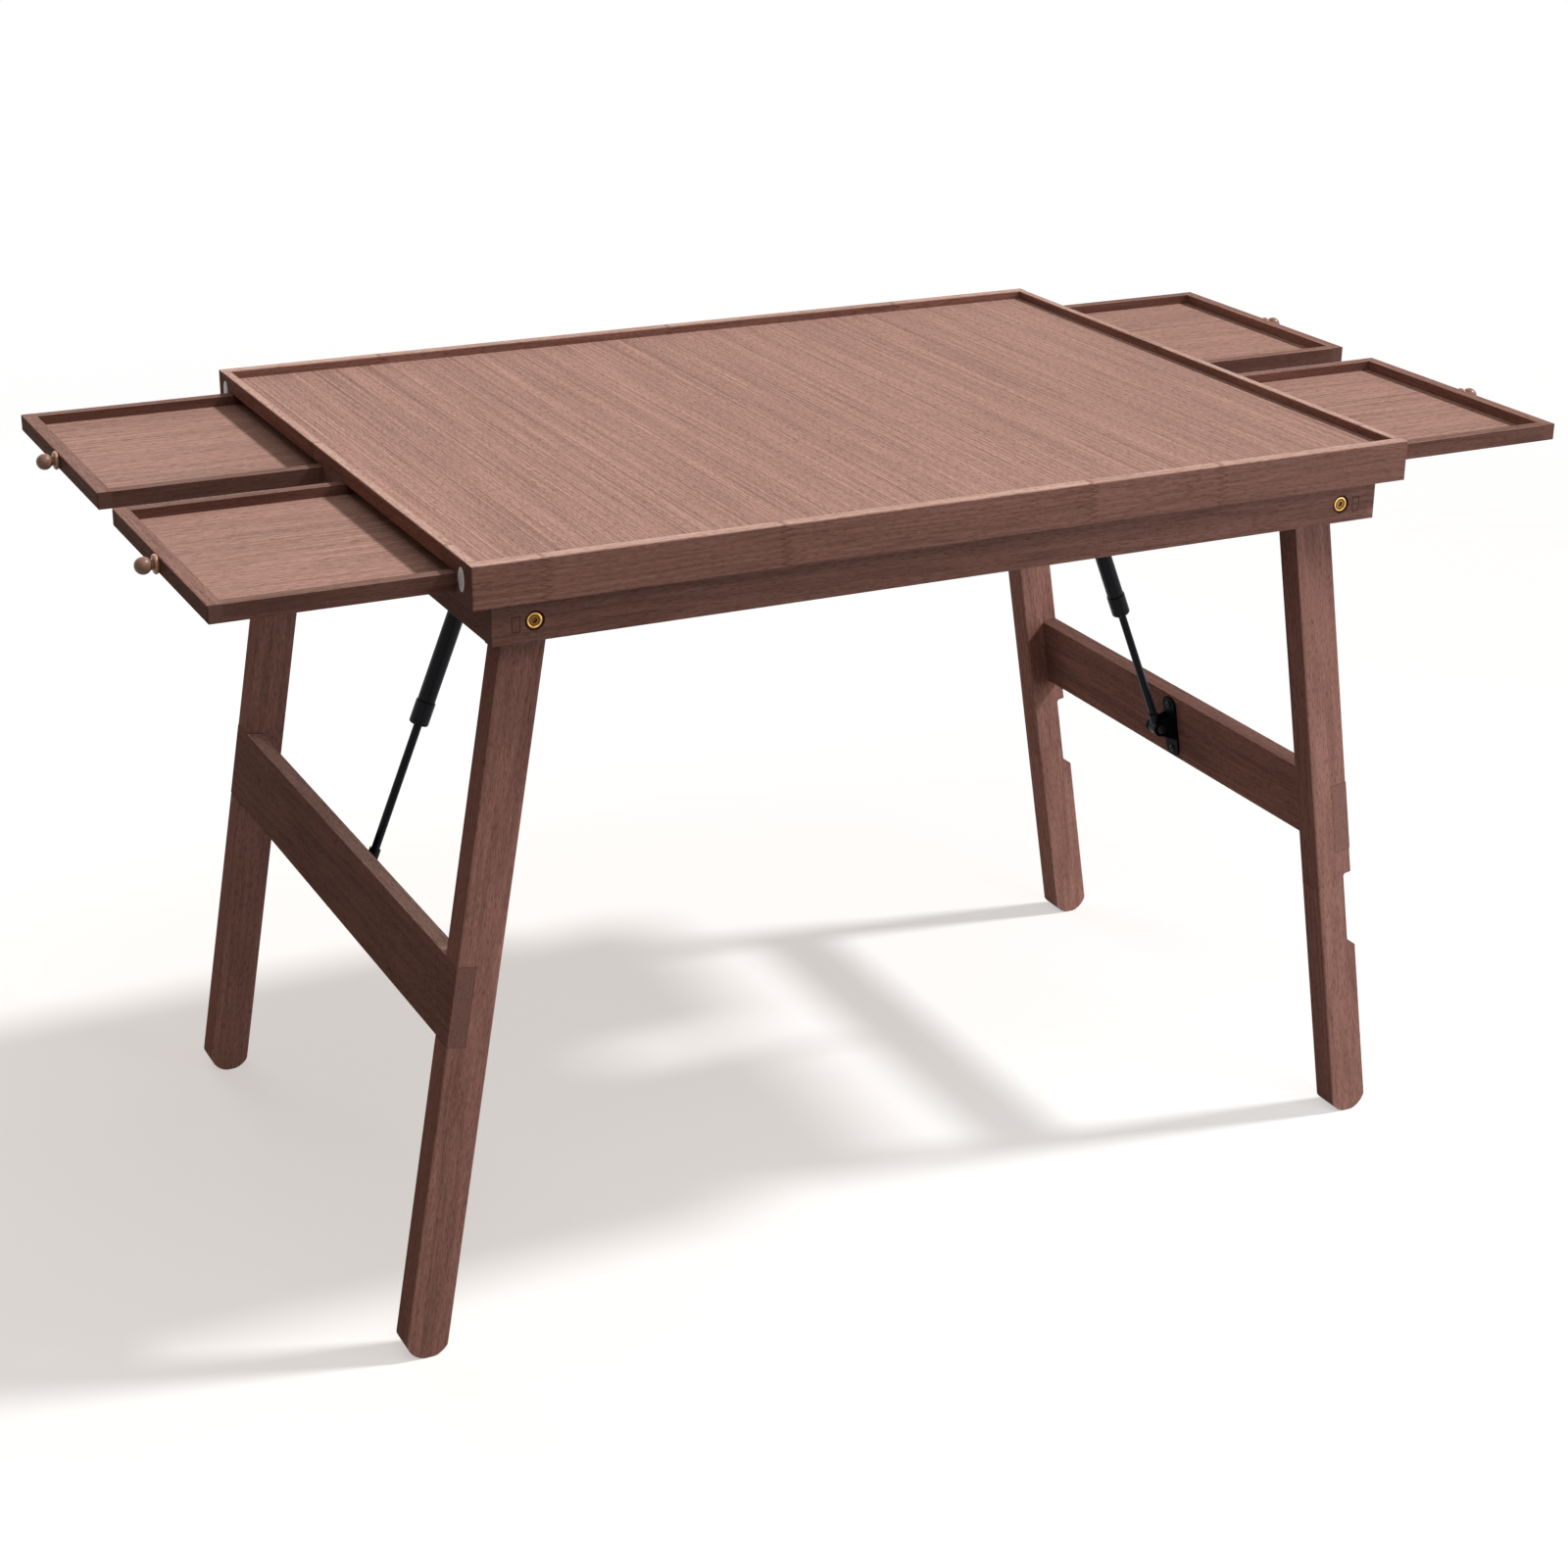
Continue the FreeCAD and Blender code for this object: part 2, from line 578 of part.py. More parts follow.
def rod_eye(side):
    """The eye on the bracket pin, with a neck that the rod screws into."""
    eye = crosswise(EYE_RADIUS, ORIGIN, EYE_WIDTH / 2)
    eye = eye.fuse(upright(ROD_NECK, 0, ROD_NECK_LENGTH)).removeSplitter()
    eye = eye.cut(crosswise(PIN_RADIUS + RUN_FIT, ORIGIN, EYE_WIDTH))
    thread = upright(ROD_RADIUS + RUN_FIT, ROD_NECK_LENGTH - ROD_SCREWED, ROD_NECK_LENGTH + PAST)
    return place_strut(eye.cut(thread), side)


def strut_rod(side):
    """The polished rod and the piston on its end, just inside the guide when the strut is extended."""
    piston_radius = TUBE_RADIUS - TUBE_WALL - PISTON_FIT
    start = ROD_NECK_LENGTH - ROD_SCREWED
    piston = TUBE_START + PISTON_REST_GAP
    end = piston + PISTON_LENGTH
    path = [(start, 0), (start, ROD_RADIUS), (piston, ROD_RADIUS), (piston, piston_radius),
            (end, piston_radius), (end, 0)]
    return place_strut(turned(path, ORIGIN, AXIS_Z), side)


def strut_tube(side):
    """The gas tube: open at the guide, closed and bevelled at the eye."""
    bore = TUBE_RADIUS - TUBE_WALL
    path = [(TUBE_START, bore), (TUBE_START, TUBE_RADIUS), (TUBE_TOP - TUBE_WALL, TUBE_RADIUS),
            (TUBE_TOP, bore), (TUBE_TOP, 0), (TUBE_TOP - TUBE_CAP, 0), (TUBE_TOP - TUBE_CAP, bore)]
    return place_strut(turned(path, ORIGIN, AXIS_Z), side)


def rod_guide(side):
    """The rod guide: a ring round the rod with a rounded nose and a collar that grips the tube's mouth."""
    hole = ROD_RADIUS + RUN_FIT
    socket = TUBE_RADIUS + RUN_FIT
    bend = GUIDE_LIP * (1 - math.sqrt(0.5))
    end = TUBE_MOUTH + GUIDE_LENGTH
    path = [(TUBE_MOUTH, hole), (TUBE_MOUTH, GUIDE_RADIUS - GUIDE_LIP),
            ("arc", (TUBE_MOUTH + bend, GUIDE_RADIUS - bend), (TUBE_MOUTH + GUIDE_LIP, GUIDE_RADIUS)),
            (end - GUIDE_RADIUS + TUBE_RADIUS, GUIDE_RADIUS), (end, socket), (TUBE_START, socket),
            (TUBE_START, hole)]
    return place_strut(turned(path, ORIGIN, AXIS_Z), side)


def tube_eye(side):
    """The eye on the tube's closed end, with the stud that stands beside the anchor's lug."""
    centre = AXIS_Z * STRUT_LENGTH
    eye = crosswise(EYE_RADIUS, centre, TUBE_EYE_WIDTH / 2).fuse(upright(TUBE_NECK, TUBE_TOP, STRUT_LENGTH))
    stud = bar(STUD_RADIUS, centre, centre.add(AXIS_Y * (ANCHOR_LUG_INNER - STUD_GAP)))
    return place_strut(eye.fuse(stud).removeSplitter(), side)


# Strut anchors under the box

def anchor_screw_seats():
    """Where an anchor's two screws stand on the underside of its plate."""
    return [Vector(ANCHOR_X + k * ANCHOR_SCREW_PITCH / 2, 0, BOX_BOTTOM - ANCHOR_PLATE) for k in BOTH]


def strut_block(side):
    """The wooden block between the centre runners that an anchor is screwed to."""
    x = (ANCHOR_X - BLOCK_LENGTH / 2, ANCHOR_X + BLOCK_LENGTH / 2)
    y = (-CENTRE_CHANNEL / 2, CENTRE_CHANNEL / 2)
    board = block(x, y, (BOX_BOTTOM, BOX_BOTTOM + BLOCK_HEIGHT))
    for seat in anchor_screw_seats():
        board = board.cut(screw_hole(seat, AXIS_Z))
    return mirrored(board, side)


def strut_anchor(side):
    """A steel angle: a plate under the block and one round-ended lug beside the strut's eye."""
    x = (ANCHOR_X - ANCHOR_PLATE_LENGTH / 2, ANCHOR_X + ANCHOR_PLATE_LENGTH / 2)
    plate = block(x, (-ANCHOR_BACK, ANCHOR_LUG_OUTER), (BOX_BOTTOM - ANCHOR_PLATE, BOX_BOTTOM))
    reach = ANCHOR_LUG_WIDTH / 2
    lug = [(ANCHOR_X - reach, BOX_BOTTOM), (ANCHOR_X - reach, ANCHOR_Z),
           ("arc", (ANCHOR_X, ANCHOR_Z - reach), (ANCHOR_X + reach, ANCHOR_Z)),
           (ANCHOR_X + reach, BOX_BOTTOM)]
    anchor = plate.fuse(prism(lug, ANCHOR_LUG_INNER, ANCHOR_LUG_OUTER)).removeSplitter()
    for seat in anchor_screw_seats():
        anchor = anchor.cut(screw_hole(seat, AXIS_Z))
    return mirrored(anchor, side)


def anchor_screws(side):
    return [mirrored(pan_screw(seat, AXIS_Z), side) for seat in anchor_screw_seats()]


# Drawers, on the right-hand side and mirrored for the left

def panel(row):
    """The bottom panel, let into a groove all round."""
    x = (DRAWER_IN + DRAWER_WALL - PANEL_GROOVE, DRAWER_FRONT_INNER + PANEL_GROOVE)
    y = (row * (DRAWER_NEAR + DRAWER_WALL - PANEL_GROOVE), row * (DRAWER_FAR - DRAWER_WALL + PANEL_GROOVE))
    top = DRAWER_TOP - TRAY_DEPTH
    return block(x, y, (top - PANEL_THICKNESS, top))


def knob_seat(row):
    """The middle of a right-hand drawer front's outer face."""
    return Vector(DRAWER_OUT, row * (DRAWER_NEAR + DRAWER_FAR) / 2, (DRAWER_TOP + DRAWER_BOTTOM) / 2)


def drawer_front(side, row):
    """The full-width front, grooved for the panel and bored for the knob."""
    y = (row * DRAWER_NEAR, row * DRAWER_FAR)
    board = block((DRAWER_FRONT_INNER, DRAWER_OUT), y, (DRAWER_BOTTOM, DRAWER_TOP))
    board = eased(board, EDGE_ROUND, lambda middle, run: middle.x > DRAWER_OUT - EDGE_ROUND / 2)
    seat = knob_seat(row)
    hole_end = seat.sub(AXIS_X * (KNOB_SPIGOT_LENGTH + RUN_FIT))
    hole = bar(KNOB_SPIGOT + RUN_FIT, hole_end, seat.add(AXIS_X * PAST))
    return mirrored(board.cut(panel(row)).cut(hole), side)


def drawer_wall(x, y, row):
    """One wall with softened upper edges along its length, grooved for the panel."""
    wall = block(x, y, (DRAWER_BOTTOM, DRAWER_TOP))

    def long_top(middle, run):
        return middle.z > DRAWER_TOP - EDGE_EASE / 2 and run.Length > DRAWER_WALL + EDGE_EASE
    return eased(wall, EDGE_EASE, long_top).cut(panel(row))


def drawer_walls(side, row):
    """The two sides behind the front, and the back between them."""
    inside_near = row * (DRAWER_NEAR + DRAWER_WALL)
    inside_far = row * (DRAWER_FAR - DRAWER_WALL)
    along = (DRAWER_IN, DRAWER_FRONT_INNER)
    walls = [drawer_wall(along, (row * DRAWER_NEAR, inside_near), row),
             drawer_wall(along, (inside_far, row * DRAWER_FAR), row),
             drawer_wall((DRAWER_IN, DRAWER_IN + DRAWER_WALL), (inside_near, inside_far), row)]
    return [mirrored(wall, side) for wall in walls]


def drawer_bottom(side, row):
    return mirrored(panel(row), side)


def drawer_knob(side, row):
    """A turned knob: spigot, rounded collar, neck and ball."""
    edge = KNOB_COLLAR - KNOB_COLLAR_LENGTH / 2
    ball_from = KNOB_COLLAR_LENGTH + KNOB_NECK_LENGTH
    centre = ball_from + math.sqrt(KNOB_BALL ** 2 - KNOB_NECK ** 2)
    path = [(-KNOB_SPIGOT_LENGTH, 0), (-KNOB_SPIGOT_LENGTH, KNOB_SPIGOT), (0, KNOB_SPIGOT), (0, edge),
            ("arc", (KNOB_COLLAR_LENGTH / 2, KNOB_COLLAR), (KNOB_COLLAR_LENGTH, edge)),
            (KNOB_COLLAR_LENGTH, KNOB_NECK), (ball_from, KNOB_NECK),
            ("arc", (centre, KNOB_BALL), (centre + KNOB_BALL, 0))]
    return mirrored(turned(path, knob_seat(row), AXIS_X), side)


def save(node, solids):
    """Write one node's solids to its STEP file."""
    shapes = solids if isinstance(solids, list) else [solids]
    pieces = [solid for shape in shapes for solid in shape.Solids]
    for piece in pieces:
        if not piece.isValid() or piece.Volume <= 0:
            raise ValueError(node + " is not a sound solid")
    whole = pieces[0] if len(pieces) == 1 else Part.makeCompound(pieces)
    whole.exportStep(os.path.join("parts", node + ".step"))


def save_table():
    """The box, its apron and everything fixed to them."""
    corners = [(side, row) for side in BOTH for row in BOTH]
    save("front_rail", rail(-1))
    save("back_rail", rail(1))
    save("puzzle_board", puzzle_board())
    save("side_runners", [side_runner(row) for row in BOTH])
    save("centre_runners", [centre_runner(row) for row in BOTH])
    save("drawer_stops", [drawer_stop(row) for row in BOTH])
    save("front_apron", long_apron(-1))
    save("back_apron", long_apron(1))
    save("corner_plugs", [corner_plug(side, row) for side, row in corners])
    save("pivot_bolts", [pivot_bolt(side, row) for side, row in corners])
    save("pivot_cap_nuts", [cap_nut(side, row) for side, row in corners])
    save("pivot_washers", [pivot_packing(-1, row) for row in BOTH])
    save("pivot_spacers", [pivot_packing(1, row) for row in BOTH])
    save("strut_blocks", [strut_block(side) for side in BOTH])
    save("strut_anchors", [strut_anchor(side) for side in BOTH])
    save("anchor_screws", anchor_screws(-1) + anchor_screws(1))


def save_side(name, side):
    """One end of the table: its end board and apron, leg pair, strut and two drawers."""
    save(name + "_end_board", end_board(side))
    save(name + "_apron", end_apron(side))
    save(name + "_stretcher", stretcher(side))
    save(name + "_strut_bracket", strut_bracket(side))
    save(name + "_bracket_screws", bracket_screws(side))
    save(name + "_strut_pin", strut_pin(side))
    save(name + "_rod_eye", rod_eye(side))
    save(name + "_strut_rod", strut_rod(side))
    save(name + "_strut_tube", strut_tube(side))
    save(name + "_rod_guide", rod_guide(side))
    save(name + "_tube_eye", tube_eye(side))
    for place, row in (("front", -1), ("rear", 1)):
        save(name + "_" + place + "_leg", leg(side, row))
        drawer = name + "_" + place + "_drawer_"
        save(drawer + "front", drawer_front(side, row))
        save(drawer + "walls", drawer_walls(side, row))
        save(drawer + "bottom", drawer_bottom(side, row))
        save(drawer + "knob", drawer_knob(side, row))


os.makedirs("parts", exist_ok=True)
save_table()
save_side("left", -1)
save_side("right", 1)
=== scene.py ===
"""Looks of a folding puzzle table: stained beech, brass pivot bolts, black gas struts and a pale stage.

Metres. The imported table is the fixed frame: X along the table, Y from front to back, Z up from the floor.
"""

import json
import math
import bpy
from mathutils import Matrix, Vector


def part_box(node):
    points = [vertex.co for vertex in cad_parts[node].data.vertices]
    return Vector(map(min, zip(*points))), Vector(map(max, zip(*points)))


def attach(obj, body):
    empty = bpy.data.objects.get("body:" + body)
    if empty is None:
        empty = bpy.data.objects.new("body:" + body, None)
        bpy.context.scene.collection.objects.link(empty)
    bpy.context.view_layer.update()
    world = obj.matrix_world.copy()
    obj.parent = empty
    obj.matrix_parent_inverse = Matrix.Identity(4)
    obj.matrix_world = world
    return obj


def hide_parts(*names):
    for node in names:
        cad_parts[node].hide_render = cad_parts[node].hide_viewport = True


bl_info = {
    "name": "Folding Puzzle Table",
    "version": (1, 0, 0),
    "blender": (4, 5, 0),
    "location": "View3D > Sidebar > Puzzle Table",
    "description": "Finishes the wood, fasteners and struts of a folding puzzle table and lights its stage",
    "category": "Object",
}

import bmesh
import bpy
from bpy.props import FloatProperty, FloatVectorProperty, PointerProperty
from mathutils import Matrix, Vector

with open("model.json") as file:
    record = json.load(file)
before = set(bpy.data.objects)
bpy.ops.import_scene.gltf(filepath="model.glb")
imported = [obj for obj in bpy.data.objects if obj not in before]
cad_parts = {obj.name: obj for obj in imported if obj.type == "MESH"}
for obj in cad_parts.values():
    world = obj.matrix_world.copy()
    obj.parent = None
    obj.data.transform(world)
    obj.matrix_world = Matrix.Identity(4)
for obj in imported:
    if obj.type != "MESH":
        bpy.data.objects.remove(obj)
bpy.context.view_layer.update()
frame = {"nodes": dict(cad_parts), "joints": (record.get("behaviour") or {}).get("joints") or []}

MM = 0.001
MERGE_WITHIN = 0.001 * MM
WHITE = (1, 1, 1, 1)
SIDES = {"left": -1, "right": 1}
ROWS = ("front", "rear")
JOINTS = {joint["name"]: joint for joint in frame["joints"]}
# The right leg pair folds until it lies flat, so it turns by a right angle and the legs' splay.
LEG_SPLAY = math.radians(JOINTS["right_fold"]["range_deg"][1] - 90)


class Sock:
    """One node socket; arithmetic with numbers or other sockets adds Math nodes to its tree."""

    def __init__(self, tree, socket):
        self.tree = tree
        self.socket = socket

    def math(self, operation, *others):
        return self.tree.math(operation, self, *others)

    def __add__(self, other):
        return self.math("ADD", other)

    def __sub__(self, other):
        return self.math("SUBTRACT", other)

    def __rsub__(self, other):
        return self.tree.math("SUBTRACT", other, self)

    def __mul__(self, other):
        return self.math("MULTIPLY", other)

    def __truediv__(self, other):
        return self.math("DIVIDE", other)

    def __rtruediv__(self, other):
        return self.tree.math("DIVIDE", other, self)

    def __pow__(self, other):
        return self.math("POWER", other)

    def __rpow__(self, other):
        return self.tree.math("POWER", other, self)

    def __abs__(self):
        return self.math("ABSOLUTE")

    __radd__ = __add__
    __rmul__ = __mul__

    def ramp(self, low, high, ends=(0.0, 1.0)):
        """Map a stretch of this value smoothly onto nought to one."""
        settings = {"interpolation_type": "SMOOTHSTEP"}
        return self.tree.node("ShaderNodeMapRange", settings, [self, low, high, *ends])

    def fade(self, low, high):
        """Map a stretch of it the other way round, from one down to nought."""
        return self.ramp(low, high, (1.0, 0.0))


class Tree:
    """A node tree under construction, with one way to add any node to it."""

    def __init__(self, tree):
        self.tree = tree

    def node(self, kind, settings=None, inputs=None, output=0):
        """Add a node, apply its settings, feed its inputs by index or name, and return one output."""
        node = self.tree.nodes.new(kind)
        for key, value in (settings or {}).items():
            setattr(node, key, value)
        pairs = inputs.items() if isinstance(inputs, dict) else enumerate(inputs or [])
        for key, value in pairs:
            self.feed(node.inputs[key], value)
        return Sock(self, node.outputs[output])

    def feed(self, socket, value):
        """Link a socket to another one, or set it to a plain value."""
        for each in value if isinstance(value, list) else [value]:
            if isinstance(each, Sock):
                self.tree.links.new(each.socket, socket)
            else:
                socket.default_value = each

    def math(self, operation, *values):
        return self.node("ShaderNodeMath", {"operation": operation}, values)

    def vector(self, operation, *values, output=0):
        return self.node("ShaderNodeVectorMath", {"operation": operation}, values, output)

    def dot(self, place, axis):
        """How far a place lies along an axis."""
        return self.vector("DOT_PRODUCT", place, axis, output="Value")

    def length(self, vector):
        """How long a vector is."""
        return self.vector("LENGTH", vector, output="Value")

    def mix(self, factor, first, second):
        """Mix two colours, by the Mix node's sockets for colours."""
        return self.node("ShaderNodeMix", {"data_type": "RGBA"}, {0: factor, 6: first, 7: second}, 2)


class Finish(Tree):
    """A material whose Principled shader gets constants and links by socket name."""

    def __init__(self, name):
        self.material = bpy.data.materials.new(name)
        self.material.use_nodes = True
        super().__init__(self.material.node_tree)
        self.shader = self.tree.nodes["Principled BSDF"]
        self.place = self.node("ShaderNodeTexCoord", output="Object")

    def surface(self, **values):
        """Feed the shader's sockets, written with underscores for spaces."""
        for name, value in values.items():
            self.feed(self.shader.inputs[name.replace("_", " ").title().replace("Ior", "IOR")], value)
        return self.material

    def noise(self, place, detail=2.0, roughness=0.5):
        """Noise at a place that is already scaled to the noise's own size."""
        inputs = {"Vector": place, "Scale": 1.0, "Detail": detail, "Roughness": roughness}
        return self.node("ShaderNodeTexNoise", None, inputs)

    def speckle(self, per_metre, detail=2.0):
        """Even noise of so many spots to the metre."""
        return self.noise(self.vector("MULTIPLY", self.place, (per_metre,) * 3), detail)

    def toned(self, factor, stain, low, high):
        """One stain, in its tone where the factor is low and its tone where that is high."""
        return self.mix(factor, rgba(stain, low), rgba(stain, high))

    def bump(self, height, strength, distance):
        inputs = {"Strength": strength, "Distance": distance, "Height": height}
        return self.node("ShaderNodeBump", None, inputs)


def rgba(tint, factor=1.0):
    """A colour as a socket value, lighter or darker by a factor."""
    return (*(channel * factor for channel in tint), 1.0)


def colour(name, description, default):
    """A colour setting."""
    return FloatVectorProperty(name=name, description=description, default=default, subtype="COLOR",
                               size=3, min=0.0, max=1.0)


def size(name, description, millimetres):
    """A length setting, kept in metres."""
    return FloatProperty(name=name, description=description, default=millimetres * MM, unit="LENGTH", min=0.0)


def share(name, description, default):
    """A setting from nought to one."""
    return FloatProperty(name=name, description=description, default=default, subtype="FACTOR",
                         min=0.0, max=1.0)


def angle(name, description, degrees):
    """An angle setting, kept in radians."""
    return FloatProperty(name=name, description=description, default=math.radians(degrees), subtype="ANGLE")


def watts(name, description, default):
    """A lamp's power setting."""
    return FloatProperty(name=name, description=description, default=default, unit="POWER", min=0.0)


class WoodSettings(bpy.types.PropertyGroup):
    """Colours and grain of the stained wood."""

    frame_stain: colour("Frame stain", "Stain of the rails, end boards and apron", (0.222, 0.111, 0.087))
    leg_stain: colour("Leg stain", "Stain of the legs and stretchers", (0.36, 0.178, 0.142))
    board_stain: colour("Board stain", "Stain of the veneered puzzle board", (0.383, 0.230, 0.188))
    drawer_stain: colour("Drawer stain", "Stain of the drawer fronts and walls", (0.224, 0.109, 0.085))
    panel_stain: colour("Panel stain", "Stain of the veneered drawer bottoms", (0.370, 0.220, 0.178))
    # Paler colour of top faces and eased edges: partly real wear, partly painted sheen and painted highlight
    wear_and_sheen_colour: colour("Worn stain", "Stain rubbed thin along the lips and edges", (0.62, 0.415, 0.345))
    # Painted light on the left stretcher's top, which lies in the table's shadow, and painted shade on the
    # right stretcher's sunlit top
    pale_lip_stain: colour("Pale lip stain", "Stain on top of the left stretcher", (0.84, 0.55, 0.47))
    dark_lip_stain: colour("Dark lip stain", "Stain on top of the right stretcher", (0.17, 0.095, 0.078))
    knob_stain: colour("Knob stain", "Stain of the knobs' balls", (0.24, 0.118, 0.080))
    collar_stain: colour("Collar stain", "Stain of the knobs' collars", (0.52, 0.27, 0.155))
    pore_stain: colour("Pore stain", "Stain that has settled in the pores", (0.090, 0.036, 0.026))
    pore_length: size("Pore length", "Length of a pore along the grain", 8.0)
    pore_width: size("Pore width", "Width of a pore across the grain", 0.85)
    ring_width: size("Ring width", "Distance between growth rings", 5.0)
    finger_length: size("Finger length", "Length of the fingers where two lengths are glued", 10.0)
    finger_pitch: size("Finger pitch", "Distance between those fingers", 5.5)
    lacquer_roughness: share("Lacquer roughness", "Roughness of the satin lacquer", 0.46)


class HardwareSettings(bpy.types.PropertyGroup):
    """Colours and sizes of the fasteners, plugs and struts."""

    brass: colour("Brass", "Polished brass of the pivot bolts and nuts", (0.72, 0.43, 0.135))
    steel_black: colour("Steel black", "Black paint of the struts and brackets", (0.0036, 0.0044, 0.0066))
    rod_black: colour("Rod black", "Hard black surface of the strut rods", (0.0055, 0.0075, 0.0125))
    screw_black: colour("Screw black", "Black zinc of the screws", (0.010, 0.010, 0.011))
    packing_black: colour("Packing black", "Moulded washers and spacers at the pivots", (0.020, 0.019, 0.018))
    plug_white: colour("Plug white", "Moulded oval plugs", (0.96, 0.94, 0.96))
    bolt_width: size("Bolt head", "Width of a pivot bolt's head", 15.0)
    bolt_height: size("Bolt height", "Height of a pivot bolt's head", 3.0)
    bolt_key: size("Bolt key", "Width of the hex key that fits the bolts and nuts", 5.0)
    nut_height: size("Nut flange", "Height of a cap nut's flange", 2.4)
    screw_width: size("Screw head", "Width of a pan-head screw", 8.0)
    screw_height: size("Screw height", "Height of a pan-head screw", 1.6)
    pin_width: size("Pin head", "Width of a strut pin's head", 10.0)
    plug_width: size("Plug width", "Width of an oval plug", 13.0)
    plug_height: size("Plug height", "Height of an oval plug", 21.0)
    plug_rise: size("Plug rise", "How far an oval plug stands out", 1.2)


class StageSettings(bpy.types.PropertyGroup):
    """Camera, lamps and floor."""

    eye: FloatVectorProperty(name="Eye", description="Place of the camera", size=3, unit="LENGTH",
                             default=(-1.23697, -2.45971, 1.45761))
    heading: angle("Heading", "Turn of the camera from the +Y axis towards +X", 26.62)
    dip: angle("Dip", "How far the camera looks down", 21.99)
    roll: angle("Roll", "Turn of the camera about its own line of sight", 0.67)
    lens: FloatProperty(name="Lens", description="Focal length on a 36 mm sensor", default=67.74,
                        unit="CAMERA")
    key_height: angle("Key height", "Height of the key light above the floor", 48.0)
    key_side: angle("Key side", "Turn of the key light from the right towards the front", 12.5)
    key_softness: angle("Key softness", "Width of the key light as the table sees it", 6.5)
    key_level: FloatProperty(name="Key level", description="Strength of the key light", default=3.2, min=0.0)
    soft_level: watts("Soft level", "Power of the wide light above the front", 16.0)
    fill_level: watts("Fill level", "Power of the low light in front of the right end", 8.6)
    back_level: watts("Back level", "Power of the light behind", 12.0)
    room_level: share("Room level", "Strength of the light from all round", 0.17)
    room_colour: colour("Room colour", "Colour of the light from all round", (1.0, 0.77, 0.64))
    floor_bounce: share("Floor bounce", "How much light the floor sends back to the table", 0.16)
    floor_white: share("Floor white", "How white the floor stays in the table's shadow", 0.525)
    # Warm tint painted on the floor around the table's shadow, as the shadow's colour
    shadow_warmth: colour("Floor warmth", "Colour of the floor near the table", (1.0, 0.952, 0.915))


SETTINGS = {"table_wood": WoodSettings, "table_hardware": HardwareSettings, "table_stage": StageSettings}


# Wood

GRAIN_X = Vector((1, 0, 0))
GRAIN_Y = Vector((0, 1, 0))

# How strongly each trait shows, and the size of the streaks: in solid boards, in veneer and in the legs
SOLID = {"bands": 0.34, "rings": 0.22, "streaks": 0.42, "pores": 0.42, "fingers": 0.34,
         "streak_length": 60 * MM, "streak_width": 2.2 * MM}
VENEER = {"bands": 0.20, "rings": 0.06, "streaks": 1.05, "pores": 0.46, "fingers": 0.0,
          "streak_length": 260 * MM, "streak_width": 1.3 * MM}
POST = {**SOLID, "fingers": 0.16}

# Where boards are sawn from: the steps between two boards along and across the grain, the step between
# two lengths glued into one board, and the way to the pith
BOARD_STEPS = (0.731, 0.417)
LENGTH_STEP = 0.2
PITH = (0, -0.08, 0.14)

# Sizes of bands, rings and rays, and the stretches of noise that count as pores and rays
BAND_SIZE = (420 * MM, 26 * MM)
RING_WANDER = 0.03
STREAK_NOISE = {"detail": 3.0, "roughness": 0.72}
PORE_NOISE = (0.0, 0.17)
RAY_LENGTH = 0.6
RAY_WIDTH = 0.9
RAY_NOISE = (0.12, 0.28)

# Tones: the grain's darkest and palest, what each trait adds (the steps between glued lengths partly painted
# light), the end grain and the places lightened as wear and painted sheen
DARK_GRAIN = 0.58
PALE_GRAIN = 1.46
BAND_CONTRAST = 2.2
STREAK_CONTRAST = 2.4
RAY_CONTRAST = 0.25
LENGTH_TONE_AND_LIGHT_STEP = 0.35
LENGTH_TONE_AND_LIGHT = 0.5
END_TINT = (0.82, 0.88, 0.91)
END_SHARE = 0.7
# Lightening of eased edges and top faces: partly real wear, partly painted sheen and painted highlight
EDGE_WEAR_AND_SHEEN = 0.4
WEAR_AND_SHEEN_STREAKS = 1.6
WEAR_AND_SHEEN_SHARE = 0.85
GLUE_SHARE = 0.8
MOST_SETTLED = 0.9

# Gloss and relief of the lacquer
BAND_ROUGHNESS = 0.25
PORE_ROUGHNESS = 0.12
LEAST_ROUGHNESS = 0.2
LACQUER_SHEEN = 0.004
STREAK_RELIEF = 0.25
PORE_RELIEF = 0.5
RELIEF_STRENGTH = 0.35
RELIEF_DEPTH = 0.25 * MM

# Widths of the lines at finger joints and at let-in ends
JOINT_EDGE = 0.1 * MM
JOINT_LINE = (1.0 * MM, 3.2 * MM)
GLUE_LINE = (0.15 * MM, 0.75 * MM)

# How squarely a face looks along an axis, from where that starts to count to where it counts in full
FLAT_FACE = (0.86, 0.985)
LONG_FACE = (0.1, 0.3)
TOP_FACE = (0.9, 0.97)
END_FACE = (0.7, 0.9)


def leg_grain(side):
    """The leaning direction of a leg on one side, foot downwards."""
    return Vector((SIDES[side] * math.sin(LEG_SPLAY), 0, -math.cos(LEG_SPLAY)))


def grain_axes(grain):
    """Unit vectors along the grain and across it in two directions."""
    across = GRAIN_X if abs(grain.y) > 0.5 else GRAIN_Y
    return grain, across, grain.cross(across)


def reach(node, axis):
    """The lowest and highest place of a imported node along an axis."""
    places = [vertex.co.dot(axis) for vertex in frame["nodes"][node].data.vertices]
    return min(places), max(places)


